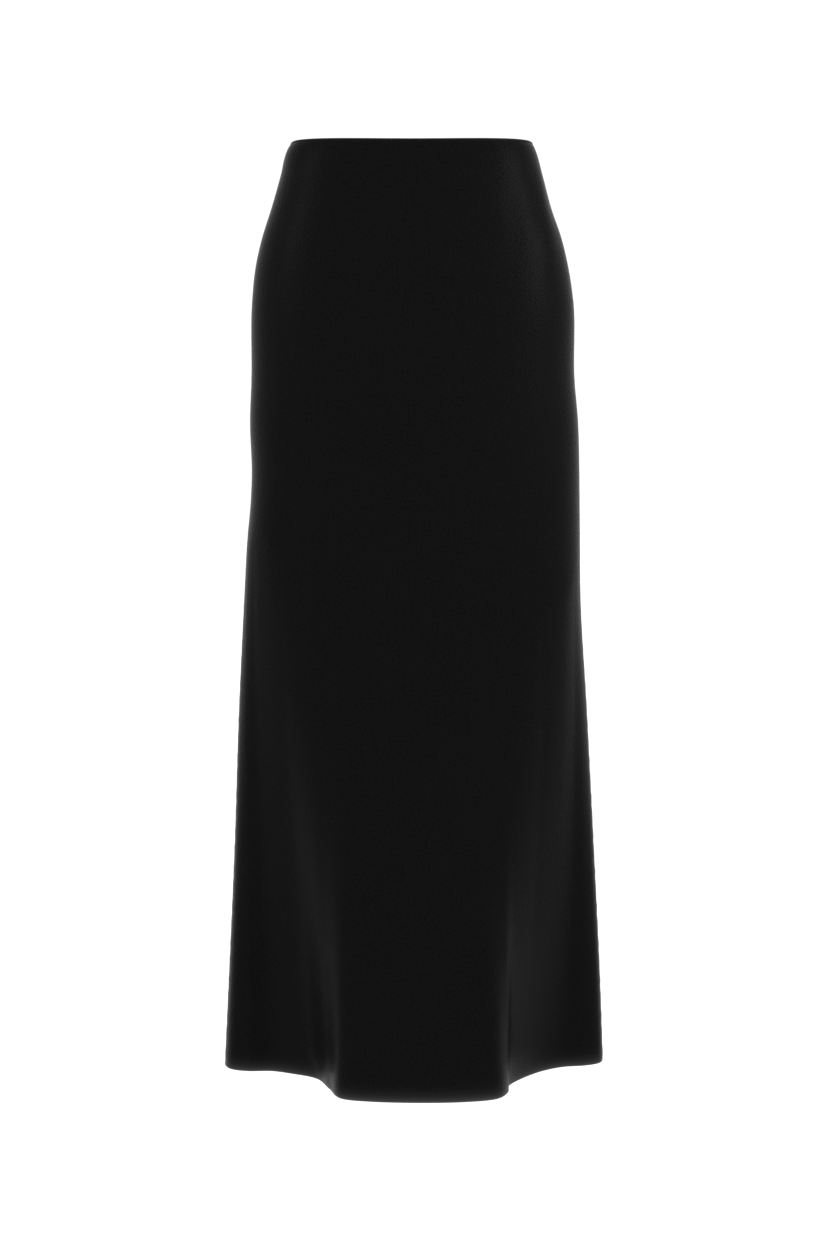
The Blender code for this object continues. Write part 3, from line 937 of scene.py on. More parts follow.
@dataclass(frozen=True)
class BackdropFinish:
    """Matt white backdrop paper with a very faint mottle."""

    name: str = "white_backdrop_paper"
    colour: str = "#fbfbfb"
    mottle: str = "#f6f6f6"
    mottle_scale: float = 3.0
    glow: float = 0.0             # light that the paper gives off itself

    def make(self) -> Material:
        """Build the material.

        Returns:
            The material.
        """
        material, tree, shader = start_material(self.name, {
            "Roughness": 0.95, "Specular IOR Level": 0.1,
            "Emission Color": (1.0, 1.0, 1.0, 1.0), "Emission Strength": self.glow,
        })
        place = add_node(tree, "TexCoord").outputs["Object"]
        mottle = add_node(tree, "TexNoise", {
            "Vector": place, "Scale": self.mottle_scale, "Detail": 4.0,
        })
        colour = add_node(tree, "Mix", {
            "Factor": mottle.outputs["Fac"], 6: linear(self.colour), 7: linear(self.mottle),
        }, data_type="RGBA")
        feed(shader, colour=colour.outputs[2])
        return material


@dataclass(frozen=True)
class Finishes:
    """Every finish of the object, made once."""

    crepe: Material = field(default_factory=lambda: CrepeFinish().make())
    thread: Material = field(default_factory=lambda: ThreadFinish().make())
    overlock: Material = field(default_factory=lambda: OverlockFinish().make())
    tape: Material = field(default_factory=lambda: TapeFinish().make())
    coil: Material = field(default_factory=lambda: CoilFinish().make())
    lacquer: Material = field(default_factory=lambda: LacquerFinish().make())


# ------------------------------------------------------------------ mesh helpers
def put_in_scene(name: str, content: bpy.types.ID) -> bpy.types.Object:
    """Put a mesh, a curve, a lamp or a camera into the scene.

    Args:
        name: Of the object.
        content: Its mesh, curve, lamp or camera.

    Returns:
        The object.
    """
    thing = bpy.data.objects.new(name, content)
    bpy.context.scene.collection.objects.link(thing)
    return thing


def made_mesh(thing: bpy.types.Object) -> Mesh:
    """Turn an object with its modifiers into a plain mesh, and remove the object.

    Args:
        thing: The object.

    Returns:
        The mesh.
    """
    bpy.context.view_layer.update()
    mesh = bpy.data.meshes.new_from_object(
        thing.evaluated_get(bpy.context.evaluated_depsgraph_get()))
    bpy.data.objects.remove(thing)
    return mesh


def woven_sheet(places: Array, grain: Array, wear_and_sheen: Array, thickness: float,
                sharp_deg: float = 50.0) -> Mesh:
    """Lay a grid of cloth on given places and give it its thickness.

    Args:
        places: Points of the cloth's outer face, by row from its foot up and column.
        grain: The cloth map at each of them.
        wear_and_sheen: How much lighter the cloth is drawn at each of them: wear and painted sheen.
        thickness: Of the cloth, added on the inside.
        sharp_deg: Edges that turn by more than this are shaded as sharp.

    Returns:
        The closed mesh.
    """
    rows, columns = wear_and_sheen.shape
    flat = bmesh.new()
    bmesh.ops.create_grid(flat, x_segments=columns - 1, y_segments=rows - 1, size=0.5)
    corners = np.array([vert.co[:2] for vert in flat.verts])
    column = np.rint((corners[:, 0] + 0.5) * (columns - 1)).astype(int)
    row = np.rint((corners[:, 1] + 0.5) * (rows - 1)).astype(int)
    for vert, place in zip(flat.verts, places[row, column]):
        vert.co = place
    mesh = bpy.data.meshes.new("cloth")
    flat.to_mesh(mesh)
    flat.free()
    at_corner = np.empty(len(mesh.loops), dtype=int)
    mesh.loops.foreach_get("vertex_index", at_corner)
    mesh.uv_layers.new(name=CLOTH_MAP).data.foreach_set(
        "uv", grain[row, column][at_corner].astype(np.float32).ravel())
    mesh.attributes.new(WEAR_AND_SHEEN, "FLOAT", "POINT").data.foreach_set(
        "value", wear_and_sheen[row, column].astype(np.float32))
    sheet = put_in_scene("cloth", mesh)
    wall = sheet.modifiers.new("thickness", "SOLIDIFY")
    wall.thickness = thickness
    wall.offset = -1.0
    closed = made_mesh(sheet)
    bpy.data.meshes.remove(mesh)
    closed.shade_smooth()
    closed.set_sharp_from_angle(angle=math.radians(sharp_deg))
    return closed


def scatter(shape: Mesh, seats: Iterable[Matrix]) -> Mesh:
    """Repeat a small shape.

    Args:
        shape: What is repeated, which is removed.
        seats: Where.

    Returns:
        All of them as one mesh.
    """
    joined = bmesh.new()
    for seat in seats:
        known = len(joined.verts)
        joined.from_mesh(shape)
        joined.verts.ensure_lookup_table()
        bmesh.ops.transform(joined, matrix=seat, verts=joined.verts[known:])
    bpy.data.meshes.remove(shape)
    mesh = bpy.data.meshes.new("row")
    joined.to_mesh(mesh)
    joined.free()
    mesh.shade_smooth()
    return mesh


def join_meshes(meshes: Iterable[Mesh]) -> Mesh:
    """Put meshes into one, with their UV maps and attributes, and remove the loose ones.

    Args:
        meshes: What goes into it.

    Returns:
        The mesh.
    """
    joined = bmesh.new()
    for mesh in meshes:
        joined.from_mesh(mesh)
        bpy.data.meshes.remove(mesh)
    whole = bpy.data.meshes.new("whole")
    joined.to_mesh(whole)
    joined.free()
    return whole


def finished_mesh(shape: bmesh.types.BMesh, sharp_deg: float = 35.0) -> Mesh:
    """Turn a closed bmesh into a mesh with welded, outward faces and soft shading.

    Args:
        shape: The bmesh, which is freed.
        sharp_deg: Edges that turn by more than this are shaded as sharp.

    Returns:
        The mesh.
    """
    bmesh.ops.remove_doubles(shape, verts=shape.verts[:], dist=1e-6)
    bmesh.ops.recalc_face_normals(shape, faces=shape.faces[:])
    mesh = bpy.data.meshes.new("shape")
    shape.to_mesh(mesh)
    shape.free()
    mesh.shade_smooth()
    mesh.set_sharp_from_angle(angle=math.radians(sharp_deg))
    return mesh


def hairpin(leg: float, radius: float, steps: int) -> list[Matrix]:
    """Lay the course of a wire bent like a hairpin: two legs along Y that half a circle joins.

    Args:
        leg: Length of each leg.
        radius: Of the half circle, which has its centre at the origin.
        steps: How many steps the half circle is drawn in.

    Returns:
        Frames along the wire's middle, each with its Z axis along the wire.
    """
    turns = [math.pi * step / steps for step in range(steps + 1)]
    spots = [(turn, radius * math.sin(turn), radius * math.cos(turn)) for turn in turns]
    spots = [(0.0, -leg, radius), *spots, (math.pi, -leg, -radius)]
    return [
        Matrix.Translation((0.0, y, z)) @ Matrix.Rotation(-math.pi / 2 - turn, 4, "X")
        for turn, y, z in spots
    ]


def bent_wire(radius: float, sides: int, course: Sequence[Matrix]) -> bmesh.types.BMesh:
    """Draw a round wire along a course, with both its ends closed.

    Args:
        radius: Of the wire.
        sides: How many sides it is drawn with.
        course: Frames along its middle, each with its Z axis along the wire.

    Returns:
        The wire.
    """
    shape = bmesh.new()
    bmesh.ops.create_circle(shape, cap_ends=False, radius=radius, segments=sides,
                            matrix=course[0])
    tip = shape.edges[:]
    for before, after in zip(course, course[1:]):
        grown = bmesh.ops.extrude_edge_only(shape, edges=tip)["geom"]
        verts = [item for item in grown if isinstance(item, bmesh.types.BMVert)]
        tip = [item for item in grown
               if isinstance(item, bmesh.types.BMEdge) and set(item.verts) <= set(verts)]
        bmesh.ops.transform(shape, matrix=after @ before.inverted(), verts=verts)
    bmesh.ops.holes_fill(shape, edges=[edge for edge in shape.edges if edge.is_boundary], sides=0)
    return shape


def rounded_block(size: Triple, rounding: float, segments: int) -> bmesh.types.BMesh:
    """Make a block with rounded edges, its middle at the origin.

    Args:
        size: Its width, depth and height.
        rounding: Radius of its edges.
        segments: How many faces each edge is rounded with.

    Returns:
        The block.
    """
    shape = bmesh.new()
    bmesh.ops.create_cube(shape, size=1.0)
    bmesh.ops.scale(shape, vec=size, verts=shape.verts[:])
    bmesh.ops.bevel(shape, geom=shape.edges[:], offset=rounding, offset_type="OFFSET",
                    segments=segments, profile=0.5, affect="EDGES", material=-1)
    return shape


def place_piece(name: str, mesh: Mesh, material: Material,
                body: str = SKIRT_BODY, slot: Slot | None = None,
                replaces: Sequence[str] = ()) -> bpy.types.Object:
    """Put a finished mesh into the scene as a piece of the object.

    Args:
        name: The piece's name.
        mesh: Its mesh, in place.
        material: Its finish.
        body: CAD body that it rides on.
        slot: Material slot of the record that the piece belongs to; not used.
        replaces: CAD nodes that it stands for.

    Returns:
        The piece.
    """
    mesh.name = name
    mesh.materials.clear()
    mesh.materials.append(material)
    piece = put_in_scene(name, mesh)
    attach(piece, body)
    if replaces:
        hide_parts(*replaces)
    LOG.info("%s: %d faces on %s", name, len(mesh.polygons), body)
    return piece


# ------------------------------------------------------------------ cut pieces of cloth
@dataclass(frozen=True)
class Crease:
    """A soft ridge or trough down a gore.

    Attributes:
        share: Of the gore, at its upper and lower end.
        drop: Of its upper and lower end.
        spread: Half of its width.
        height: Proud of the cloth at its middle, or sunk where negative.
        fade: Share of its length over which each end fades.
    """

    share: Pair
    drop: Pair
    spread: float
    height: float
    fade: float = 0.35

    def relief(self, shares: Array, drop: float, width: float) -> Array:
        """Read how far it lifts the cloth.

        Args:
            shares: Of the gore.
            drop: Below the waist edge.
            width: Of the gore at that drop.

        Returns:
            The lift at each share.
        """
        t = (drop - self.drop[0]) / (self.drop[1] - self.drop[0])
        if not 0.0 < t < 1.0:
            return np.zeros_like(shares)
        middle = self.share[0] + (self.share[1] - self.share[0]) * t
        fade = float(smooth_step(t / self.fade) * smooth_step((1 - t) / self.fade))
        return self.height * fade * np.exp(-((shares - middle) * width / self.spread) ** 2)


@dataclass(frozen=True)
class Dart:
    """A stitched dart: a narrow line that dips into the cloth and runs out to nothing.

    Attributes:
        share: Of the gore, where it lies.
        end: Drop of its point.
        half_width: Of the dip.
        depth: Of the dip at the waist.
        run_out: How far above its point the dip begins to fade.
        swell: How far the fullness past its point lifts the cloth.
        swell_past: How far past the point that is highest.
        swell_reach: How far it reaches down the cloth and round the body.
    """

    share: float
    end: float
    half_width: float = 0.0013
    depth: float = 0.0007
    run_out: float = 0.03
    swell: float = 0.0006
    swell_past: float = 0.006
    swell_reach: Pair = (0.014, 0.011)

    def relief(self, shares: Array, drop: float, width: float) -> Array:
        """Read how far it lifts the cloth, or sinks it where negative.

        Args:
            shares: Of the gore.
            drop: Below the waist edge.
            width: Of the gore at that drop.

        Returns:
            The lift at each share.
        """
        away = (shares - self.share) * width
        fade = float(smooth_step((self.end - drop) / self.run_out))
        dip = -self.depth * fade * (1 - np.abs(away) / self.half_width).clip(0.0) ** 1.5
        down, across = self.swell_reach
        swell = self.swell * math.exp(-((drop - self.end - self.swell_past) / down) ** 2)
        return dip + swell * np.exp(-(away / across) ** 2)


@dataclass(frozen=True)
class Pucker:
    """Small ripples that sewing leaves along a seam.

    Attributes:
        height: Of the ripples beside the seam.
        reach: How far into the cloth they run.
        pitch: Distances between ripples, two of them so that they don't look even.
        weaker: Height of the second ones, as a share of the first ones'.
        phase: Where along the seam they begin.
    """

    height: float
    reach: float = 0.009
    pitch: Pair = (0.019, 0.0127)
    weaker: float = 0.6
    phase: float = 0.0

    def relief(self, away: Array, drop: float) -> Array:
        """Read how far they lift the cloth.

        Args:
            away: Distances from the seam.
            drop: Below the waist edge.

        Returns:
            The lift at each distance.
        """
        first, second = (math.sin(math.tau * drop / step + self.phase) for step in self.pitch)
        ripples = self.height * (first + self.weaker * second)
        return ripples * np.exp(-(away / self.reach) ** 2)


@dataclass(frozen=True)
class Seam:
    """One long edge of a cut piece.

    Attributes:
        gap: How far the cloth stops from the seam's line, at a drop.
        pucker: Ripples along it.
        dip: How deep the cloth rolls into the seam.
        roll: Over what distance it does so.
        steepness: How near it comes to a quarter of a circle, which is 1.
    """

    gap: Callable[[float], float]
    pucker: Pucker
    dip: float = 0.0011
    roll: float = 0.0016
    steepness: float = 0.96

    def sunk(self, away: Array) -> Array:
        """Read how deep the cloth rolls in.

        Args:
            away: Distances from its edge.

        Returns:
            Its depth at each.
        """
        t = (1 - away / self.roll).clip(0.0, 1.0)
        whole = 1 - math.sqrt(1 - self.steepness)
        return self.dip * (1 - np.sqrt(1 - self.steepness * t * t)) / whole


def closed_gap(_drop: float) -> float:
    """Gap beside a seam that is sewn shut."""
    return 0.0


@dataclass
class CutPiece:
    """A cut piece of cloth between two seams, its waist edge turned in and its hem turned up.

    Attributes:
        name: Of the piece.
        gore: Its stretch of the form.
        seams: Its first and last long edge.
        creases: Soft ridges and troughs.
        dart: Its dart, if it has one.
        columns: Spaces between the wall's columns, apart from the fine ones at seams and dart.
        cloth: Thickness of the cloth.
        waist_turn: Depth of the turned-in waist edge.
        hem_turn: Depth of the hem turn-up.
        waist_roll: Radius of the fold at the waist.
        hem_roll: Radius of the fold at the hem.
        turned_depth: How deep the face of the turned-in waist lies below the outer face.
        hem_depth: How deep the face of the turned-up hem lies at its upper edge.
        row_step: Distance between rows where nothing is fine.
        hem_rows: How far above the hem's fold the fine rows are.
        waist_rows: Drops of the fine rows below the waist, from the lowest up.
        turned_rows: How many even rows the hem turn-up and the turned-in waist have.
        turned_start: How far from the hem's fold and from the waist edge those rows begin.
        turned_foot: How far above the hem's fold the last row of the turn-up is.
        column_room: Room that is kept between the fine columns at a seam or dart and the rest.
        edge_places: Distances of the fine columns from a seam.
        dart_places: Distances of the fine columns from the dart.
        roll_steps: Faces round the cloth's fold at the hem, and as many at the waist.
        turn_weight: Metres of cloth that one radian of turning counts as, for the columns.
        press_depth: Depth of the pressed line just below the waist fold.
        press_line: That line's drop and half its width.
        hem_wear_and_sheen: How far up from the hem the cloth is drawn lighter: partly wear,
            partly a painted sheen for the pale band of light along the hem.
        waist_wear_and_sheen: How much lighter it is drawn at the waist, and how far down.
        seam_wear_and_sheen: How much lighter it is drawn at a seam, and how far from it.
        roll_wear_and_sheen: How much lighter it is drawn on the waist's fold and just inside
            the hem's. All of these are partly wear and partly painted sheen.
        sink_reach: How far from a seam the strips inside are drawn deeper by its roll.
        calm: Drop at which creases, dart and puckers begin, and over how far they grow.
        sewn_in: How far the bottom of an edge's groove reaches past the seam line, so that no
            light comes through the seam.
    """

    name: str
    gore: Gore
    seams: tuple[Seam, Seam]
    creases: tuple[Crease, ...] = ()
    dart: Dart | None = None
    columns: int = 140
    cloth: float = 0.0007
    waist_turn: float = 0.008
    hem_turn: float = 0.038
    waist_roll: float = 0.00095
    hem_roll: float = 0.00125
    turned_depth: float = 0.0019
    hem_depth: float = 0.0023
    row_step: float = 0.0052
    hem_rows: tuple[float, ...] = (0.0008, 0.0020, 0.0036, 0.0060)
    waist_rows: tuple[float, ...] = (
        0.0130, 0.0095, 0.0070, 0.0052, 0.0040, 0.0032, 0.0026, 0.0020, 0.0015,
    )
    turned_rows: tuple[int, int] = (8, 5)
    turned_start: Pair = (0.004, 0.0022)
    turned_foot: float = 0.0015
    column_room: float = 0.0012
    edge_places: tuple[float, ...] = (
        0.0, 0.0003, 0.0006, 0.0010, 0.0014, 0.0018, 0.0026, 0.0040,
    )
    dart_places: tuple[float, ...] = (0.0, 0.0004, 0.0008, 0.0012, 0.0017, 0.0026, 0.0045)
    roll_steps: int = 7
    turn_weight: float = 0.020
    press_depth: float = 0.00030
    press_line: Pair = (0.0028, 0.0008)
    # how much lighter the crepe is drawn at the hem, waist, seams and folds: partly wear, partly
    # painted sheen
    hem_wear_and_sheen: float = 0.0036
    waist_wear_and_sheen: Pair = (0.12, 0.0014)
    seam_wear_and_sheen: Pair = (0.12, 0.0011)
    roll_wear_and_sheen: float = 0.3
    sink_reach: float = 0.0012
    calm: Pair = (0.004, 0.02)
    sewn_in: float = 0.00005

    def spread_columns(self) -> tuple[Array, Array]:
        """Choose where the wall's columns stand, closer together where the hem turns.

        Returns:
            For each column a share of the piece and a distance in metres that is added to it.
        """
        curve = self.gore.hem_curve
        steps = np.diff(curve, axis=0)
        lengths = np.hypot(*steps.T)
        headings = np.unwrap(np.arctan2(steps[:, 1], steps[:, 0]))
        turning = np.abs(np.gradient(headings))
        travelled = np.concatenate(([0.0], np.cumsum(lengths))) / lengths.sum()
        effort = np.concatenate(([0.0], np.cumsum(lengths + self.turn_weight * turning)))
        even = np.interp(np.linspace(0, effort[-1], self.columns + 1), effort, travelled)
        clusters = [(0.0, [(0.0, place) for place in self.edge_places])]
        if self.dart:
            beside = [-place for place in self.dart_places[:0:-1]] + list(self.dart_places)
            clusters.append((self.dart.share, [(self.dart.share, place) for place in beside]))
        clusters.append((1.0, [(1.0, -place) for place in self.edge_places[::-1]]))
        narrowest = self.gore.width(0.0)
        stands = list(clusters[0][1])
        for (share, fine), (next_share, next_fine) in zip(clusters, clusters[1:]):
            first = share + (fine[-1][1] + self.column_room) / narrowest
            last = next_share + (next_fine[0][1] - self.column_room) / narrowest
            stands += [(float(stand), 0.0) for stand in even if first < stand < last]
            stands += next_fine
        return np.array([s for s, _ in stands]), np.array([d for _, d in stands])

    def shares(self, columns: tuple[Array, Array], drop: float) -> Array:
        """Read where the wall's columns stand at one height.

        Args:
            columns: As spread_columns gives them.
            drop: Below the waist edge.

        Returns:
            Shares of the gore.
        """
        fractions, offsets = columns
        width = self.gore.width(drop)
        start = self.seams[0].gap(drop) / width
        end = 1.0 - self.seams[1].gap(drop) / width
        return (start + (end - start) * fractions + offsets / width).clip(0.0, 1.0)

    def profile(self) -> list[tuple[float, float, float, float]]:
        """Follow the cloth from inside the hem, round it, up the outside and into the waist.

        Returns:
            For each row its drop, its depth below the outer face, how far it counts as outer face
            and how much lighter it is drawn for wear and painted sheen, from the foot up.
        """
        length = self.gore.form.length
        hem_top, hem_low = length - self.hem_turn, length - self.hem_roll
        rows = [
            (float(drop), self.hem_depth, 0.0, 0.0)
            for drop in np.linspace(hem_top, hem_low - self.turned_start[0], self.turned_rows[0])
        ]
        # The hem's fold and just inside it are drawn lighter: partly wear, partly a painted sheen
        # for the band of light along the hem.
        rows.append((hem_low - self.turned_foot, 2 * self.hem_roll, 0.0, self.roll_wear_and_sheen))
        for step in range(self.roll_steps + 1):
            turn = math.pi * step / self.roll_steps
            rows.append((
                hem_low + self.hem_roll * math.sin(turn),
                self.hem_roll * (1 + math.cos(turn)),
                0.5 - 0.5 * math.cos(turn),
                1.0,
            ))
        near_hem = [hem_low - above for above in self.hem_rows]
        span = near_hem[-1] - self.waist_rows[0]
        count = round(span / self.row_step)
        even = [near_hem[-1] - span * i / count for i in range(1, count)]
        line, half_line = self.press_line
        waist_wear_and_sheen_peak, waist_reach = self.waist_wear_and_sheen
        for drop in [*near_hem, *even, *self.waist_rows]:
            pressed = self.press_depth * math.exp(-((drop - line) / half_line) ** 2)
            # Lighter towards the hem and the waist: partly wear, partly painted sheen.
            wear_and_sheen = math.exp((drop - length) / self.hem_wear_and_sheen)
            wear_and_sheen += waist_wear_and_sheen_peak * math.exp(-drop / waist_reach)
            rows.append((drop, pressed, 1.0, min(1.0, wear_and_sheen)))
        for step in range(self.roll_steps + 1):
            turn = math.pi * step / self.roll_steps
            rows.append((
                self.waist_roll * (1 - math.sin(turn)),
                self.waist_roll * (1 - math.cos(turn)),
                0.5 + 0.5 * math.cos(turn),
                self.roll_wear_and_sheen,
            ))
        rows += [
            (float(drop), self.turned_depth, 0.0, 0.0)
            for drop in np.linspace(self.turned_start[1], self.waist_turn, self.turned_rows[1])
        ]
        return rows

    def relief(self, shares: Array, drop: float, width: float) -> Array:
        """Read how far creases, dart and puckers lift the cloth.

        Args:
            shares: Of the gore.
            drop: Below the waist edge.
            width: Of the gore at that drop.

        Returns:
            The lift at each share.
        """
        lift = sum((crease.relief(shares, drop, width) for crease in self.creases),
                   np.zeros_like(shares))
        if self.dart:
            lift = lift + self.dart.relief(shares, drop, width)
        for seam, away in zip(self.seams, (shares * width, (1 - shares) * width)):
            lift = lift + seam.pucker.relief(away, drop)
        return lift * float(smooth_step((drop - self.calm[0]) / self.calm[1]))

    def layer(self, shares: Array, drop: float, depths: Value) -> Array:
        """Points that far below the cloth's face, its creases and puckers included."""
        lift = self.relief(shares, drop, self.gore.width(drop))
        return self.gore.layer(shares, drop, depths - lift)

    def seat(self, share: float, drop: float, depth: float) -> Matrix:
        """Frame that far below the cloth's face: X round the body, Y out and Z up."""
        lift = float(self.relief(np.array([share]), drop, self.gore.width(drop))[0])
        return self.gore.seat(share, drop, depth - lift)

    def beside(self, seam: int, drop: float, away: Value) -> Value:
        """Shares at distances from the cloth's edge at its first (0) or last (1) seam."""
        offset = (self.seams[seam].gap(drop) + away) / self.gore.width(drop)
        return 1.0 - offset if seam else offset

    def strip(self, seam: int, away: Array, drops: Array, depth: float,
              thickness: float, sink: float = 0.0, wear: float = 0.0) -> Mesh:
        """Build a strip of cloth or thread that runs down beside a seam on the inside.

        Args:
            seam: 0 for the piece's first seam, 1 for its last.
            away: Distances of the strip's columns from the seam.
            drops: Of its rows, from its foot up.
            depth: How deep its face lies below the outer face.
            thickness: Of the strip.
            sink: How much deeper it lies right at the seam, where the cloth rolls in.
            wear: How much wear it shows.

        Returns:
            The mesh.
        """
        away = away[::-1] if seam else away
        depths = depth + sink * np.exp(-(away / self.sink_reach) ** 2)
        places = np.array([
            self.layer(self.beside(seam, float(drop), away), float(drop), depths)
            for drop in drops
        ])
        grain = np.stack(np.broadcast_arrays(away[None, :], -drops[:, None]), axis=-1)
        return woven_sheet(places, grain, np.full(grain.shape[:2], wear), thickness)

    def mesh(self) -> Mesh:
        """Build the piece, on rows and columns that are closer together where it is finely shaped.

        Returns:
            Its mesh.
        """
        columns = self.spread_columns()
        rows = self.profile()
        count = len(columns[0])
        places = np.empty((len(rows), count, 3))
        grain = np.empty((len(rows), count, 2))
        wear_and_sheen = np.empty((len(rows), count))
        travelled = 0.0
        seam_wear_and_sheen_peak, seam_reach = self.seam_wear_and_sheen
        for i, (drop, depth, outer, rubbed_and_sheen) in enumerate(rows):
            width = self.gore.width(drop)
            shares = self.shares(columns, drop)
            from_first = shares * width - self.seams[0].gap(drop)
            from_last = (1.0 - shares) * width - self.seams[1].gap(drop)
            sunk = self.seams[0].sunk(from_first) + self.seams[1].sunk(from_last)
            depths = depth + outer * sunk - self.relief(shares, drop, width)
            places[i] = self.gore.layer(shares, drop, depths)
            if i:
                travelled += math.dist(rows[i - 1][:2], (drop, depth))
            grain[i, :, 0] = (shares - 0.5) * width
            grain[i, :, 1] = travelled
            # Lighter beside the seams: partly wear, partly painted sheen.
            near = np.minimum(from_first, from_last)
            wear_and_sheen[i] = np.maximum(rubbed_and_sheen, seam_wear_and_sheen_peak * outer * np.exp(-(near / seam_reach) ** 2))
        for edge, beside in ((0, 1), (-1, -2)):
            outwards = places[:, edge] - places[:, beside]
            outwards /= np.linalg.norm(outwards, axis=-1, keepdims=True)
            places[:, edge] += self.sewn_in * outwards
        top = next(i for i, row in enumerate(rows) if row[0] == min(r[0] for r in rows))
        grain[:, :, 1] -= grain[top, 0, 1]
        return woven_sheet(places, grain, wear_and_sheen, self.cloth)

    def flat_size(self) -> Pair:
        """Widest and longest measure of the cut piece, turnings included."""
        form = self.gore.form
        return self.gore.width(form.length), form.length + self.waist_turn + self.hem_turn

    def flat_area(self) -> float:
        """Add up the area of the cut piece, turnings included.

        Returns:
            The area in square metres.
        """
        length = self.gore.form.length
        drops = np.linspace(0.0, length, round(length / AREA_STEP) + 1)
        widths = np.array([self.gore.width(float(drop)) for drop in drops])
        wall = float(((widths[:-1] + widths[1:]) / 2 * np.diff(drops)).sum())
        return wall + self.waist_turn * widths[0] + self.hem_turn * widths[-1]


@dataclass(frozen=True)
class InsideFinishing:
    """What is sewn on the inside of a cut piece: open seam allowances, overlocking and stitches.

    Attributes:
        piece: The cut piece.
        allowance: Width of the cloth past a seam, pressed open.
        allowance_depth: How deep its face lies below the outer face.
        allowance_cloth: Its thickness.
        top: Drop at which the allowances come out under the turned-in waist.
        bottom: Drop at which they end, inside the hem.
        band: Width of the overlocking.
        band_thickness: Thickness of its threads with the cloth between them.
        band_rows: Rows of the overlocking along the hem.
        band_past: How far its loops reach past the allowance's edge and past the hem's.
        edge_sink: How much deeper an allowance lies right at the seam, where the cloth rolls in.
        fine_rows: Drops of a strip's upper rows, below its top.
        even_rows: How many even rows it has below them, and the drop of the highest.
        strip_columns: How many columns it has.
        wear: How much wear its cloth shows.
        waist_stitch_drop: Of the stitches that hold the turned-in waist flat.
        waist_stitch_pitch: Their distance.
        hem_stitch_pitch: Distance of the blind stitches at the hem turn-up.
        hem_stitch_lean_deg: How far those lean.
        hem_stitch_sink: How deep they are drawn into the cloth.
        stitch_length: Of one stitch.
    """

    piece: CutPiece
    allowance: float = 0.012
    allowance_depth: float = 0.00085
    allowance_cloth: float = 0.00055
    top: float = 0.0092
    bottom: float = 0.914
    band: float = 0.0042
    band_thickness: float = 0.00085
    band_rows: int = 5
    band_past: Pair = (0.0003, 0.0004)
    edge_sink: float = 0.0005
    fine_rows: tuple[float, ...] = (0.0115, 0.0150, 0.0180, 0.0205, 0.0240)
    even_rows: tuple[int, float] = (112, 0.030)
    strip_columns: int = 6
    wear: float = 0.05
    waist_stitch_drop: float = 0.0055
    waist_stitch_pitch: float = 0.0032
    hem_stitch_pitch: float = 0.008
    hem_stitch_lean_deg: float = 38.0
    hem_stitch_sink: float = 0.0001
    stitch_length: float = 0.0022

    def drops(self) -> Array:
        """Drops of a strip's rows, from its foot up."""
        even = np.linspace(self.bottom, self.even_rows[1], self.even_rows[0])
        return np.concatenate((even, self.fine_rows[::-1], [self.top]))

    def hem_band(self) -> Mesh:
        """Build the overlocking along the upper edge of the hem turn-up.

        Returns:
            The mesh.
        """
        piece = self.piece
        edge = piece.gore.form.length - piece.hem_turn
        drops = np.linspace(edge + self.band, edge - self.band_past[1], self.band_rows)
        face = piece.hem_depth + 0.5 * (self.band_thickness - piece.cloth)
        columns = piece.spread_columns()
        places = np.array([
            piece.layer(piece.shares(columns, float(drop)), float(drop), face - self.band_thickness)
            for drop in drops
        ])
        along_edge = piece.shares(columns, edge) * piece.gore.width(edge)
        grain = np.stack(np.broadcast_arrays(drops[:, None], along_edge[None, :]), axis=-1)
        return woven_sheet(places, grain, np.zeros(grain.shape[:2]), self.band_thickness)

    def allowances(self) -> Mesh:
        """Build both seam allowances.

        Returns:
            The mesh.
        """
        away = np.linspace(0.0, self.allowance, self.strip_columns)
        return join_meshes([
            self.piece.strip(seam, away, self.drops(), self.allowance_depth,
                             self.allowance_cloth, self.edge_sink, self.wear)
            for seam in (0, 1)
        ])

    def overlocking(self) -> Mesh:
        """Build the overlocking of both allowances and of the hem turn-up.

        Returns:
            The mesh.
        """
        away = np.linspace(self.allowance - self.band, self.allowance + self.band_past[0],
                           self.strip_columns)
        depth = self.allowance_depth - (self.band_thickness - self.allowance_cloth) / 2
        bands = [
            self.piece.strip(seam, away, self.drops(), depth, self.band_thickness)
            for seam in (0, 1)
        ]
        return join_meshes([*bands, self.hem_band()])

    def stitches(self) -> Mesh:
        """Build the stitches round the turned-in waist and over the edge of the hem turn-up.

        Returns:
            The mesh.
        """
        piece = self.piece
        gore = piece.gore
        waist = gore.width(self.waist_stitch_drop)
        count = int(waist / self.waist_stitch_pitch) - 1
        seats = [
            piece.seat((i + 1) / (count + 1), self.waist_stitch_drop, piece.turned_depth)
            for i in range(count)
        ]
        edge = gore.form.length - piece.hem_turn
        count = int(gore.width(edge) / self.hem_stitch_pitch) - 1
        lean = Matrix.Rotation(math.radians(self.hem_stitch_lean_deg), 4, "Y")
        seats += [
            piece.seat((i + 1) / (count + 1), edge, piece.hem_depth + self.hem_stitch_sink) @ lean
            for i in range(count)
        ]
        return scatter(stitch_shape(self.stitch_length), seats)


def stitch_shape(length: float, thread: float = 0.00042) -> Mesh:
    """Make one stitch on the cloth's face: a plump grain of thread that lies along X.

    Args:
        length: Of the stitch.
        thread: Its thickness.

    Returns:
        The mesh.
    """
    shape = bmesh.new()
    bmesh.ops.create_uvsphere(shape, u_segments=8, v_segments=5, radius=0.5)
    bmesh.ops.rotate(shape, matrix=Matrix.Rotation(math.radians(90), 3, "Y"),
                     verts=shape.verts[:])
    bmesh.ops.scale(shape, vec=(length, thread, thread), verts=shape.verts[:])
    return finished_mesh(shape, 180.0)


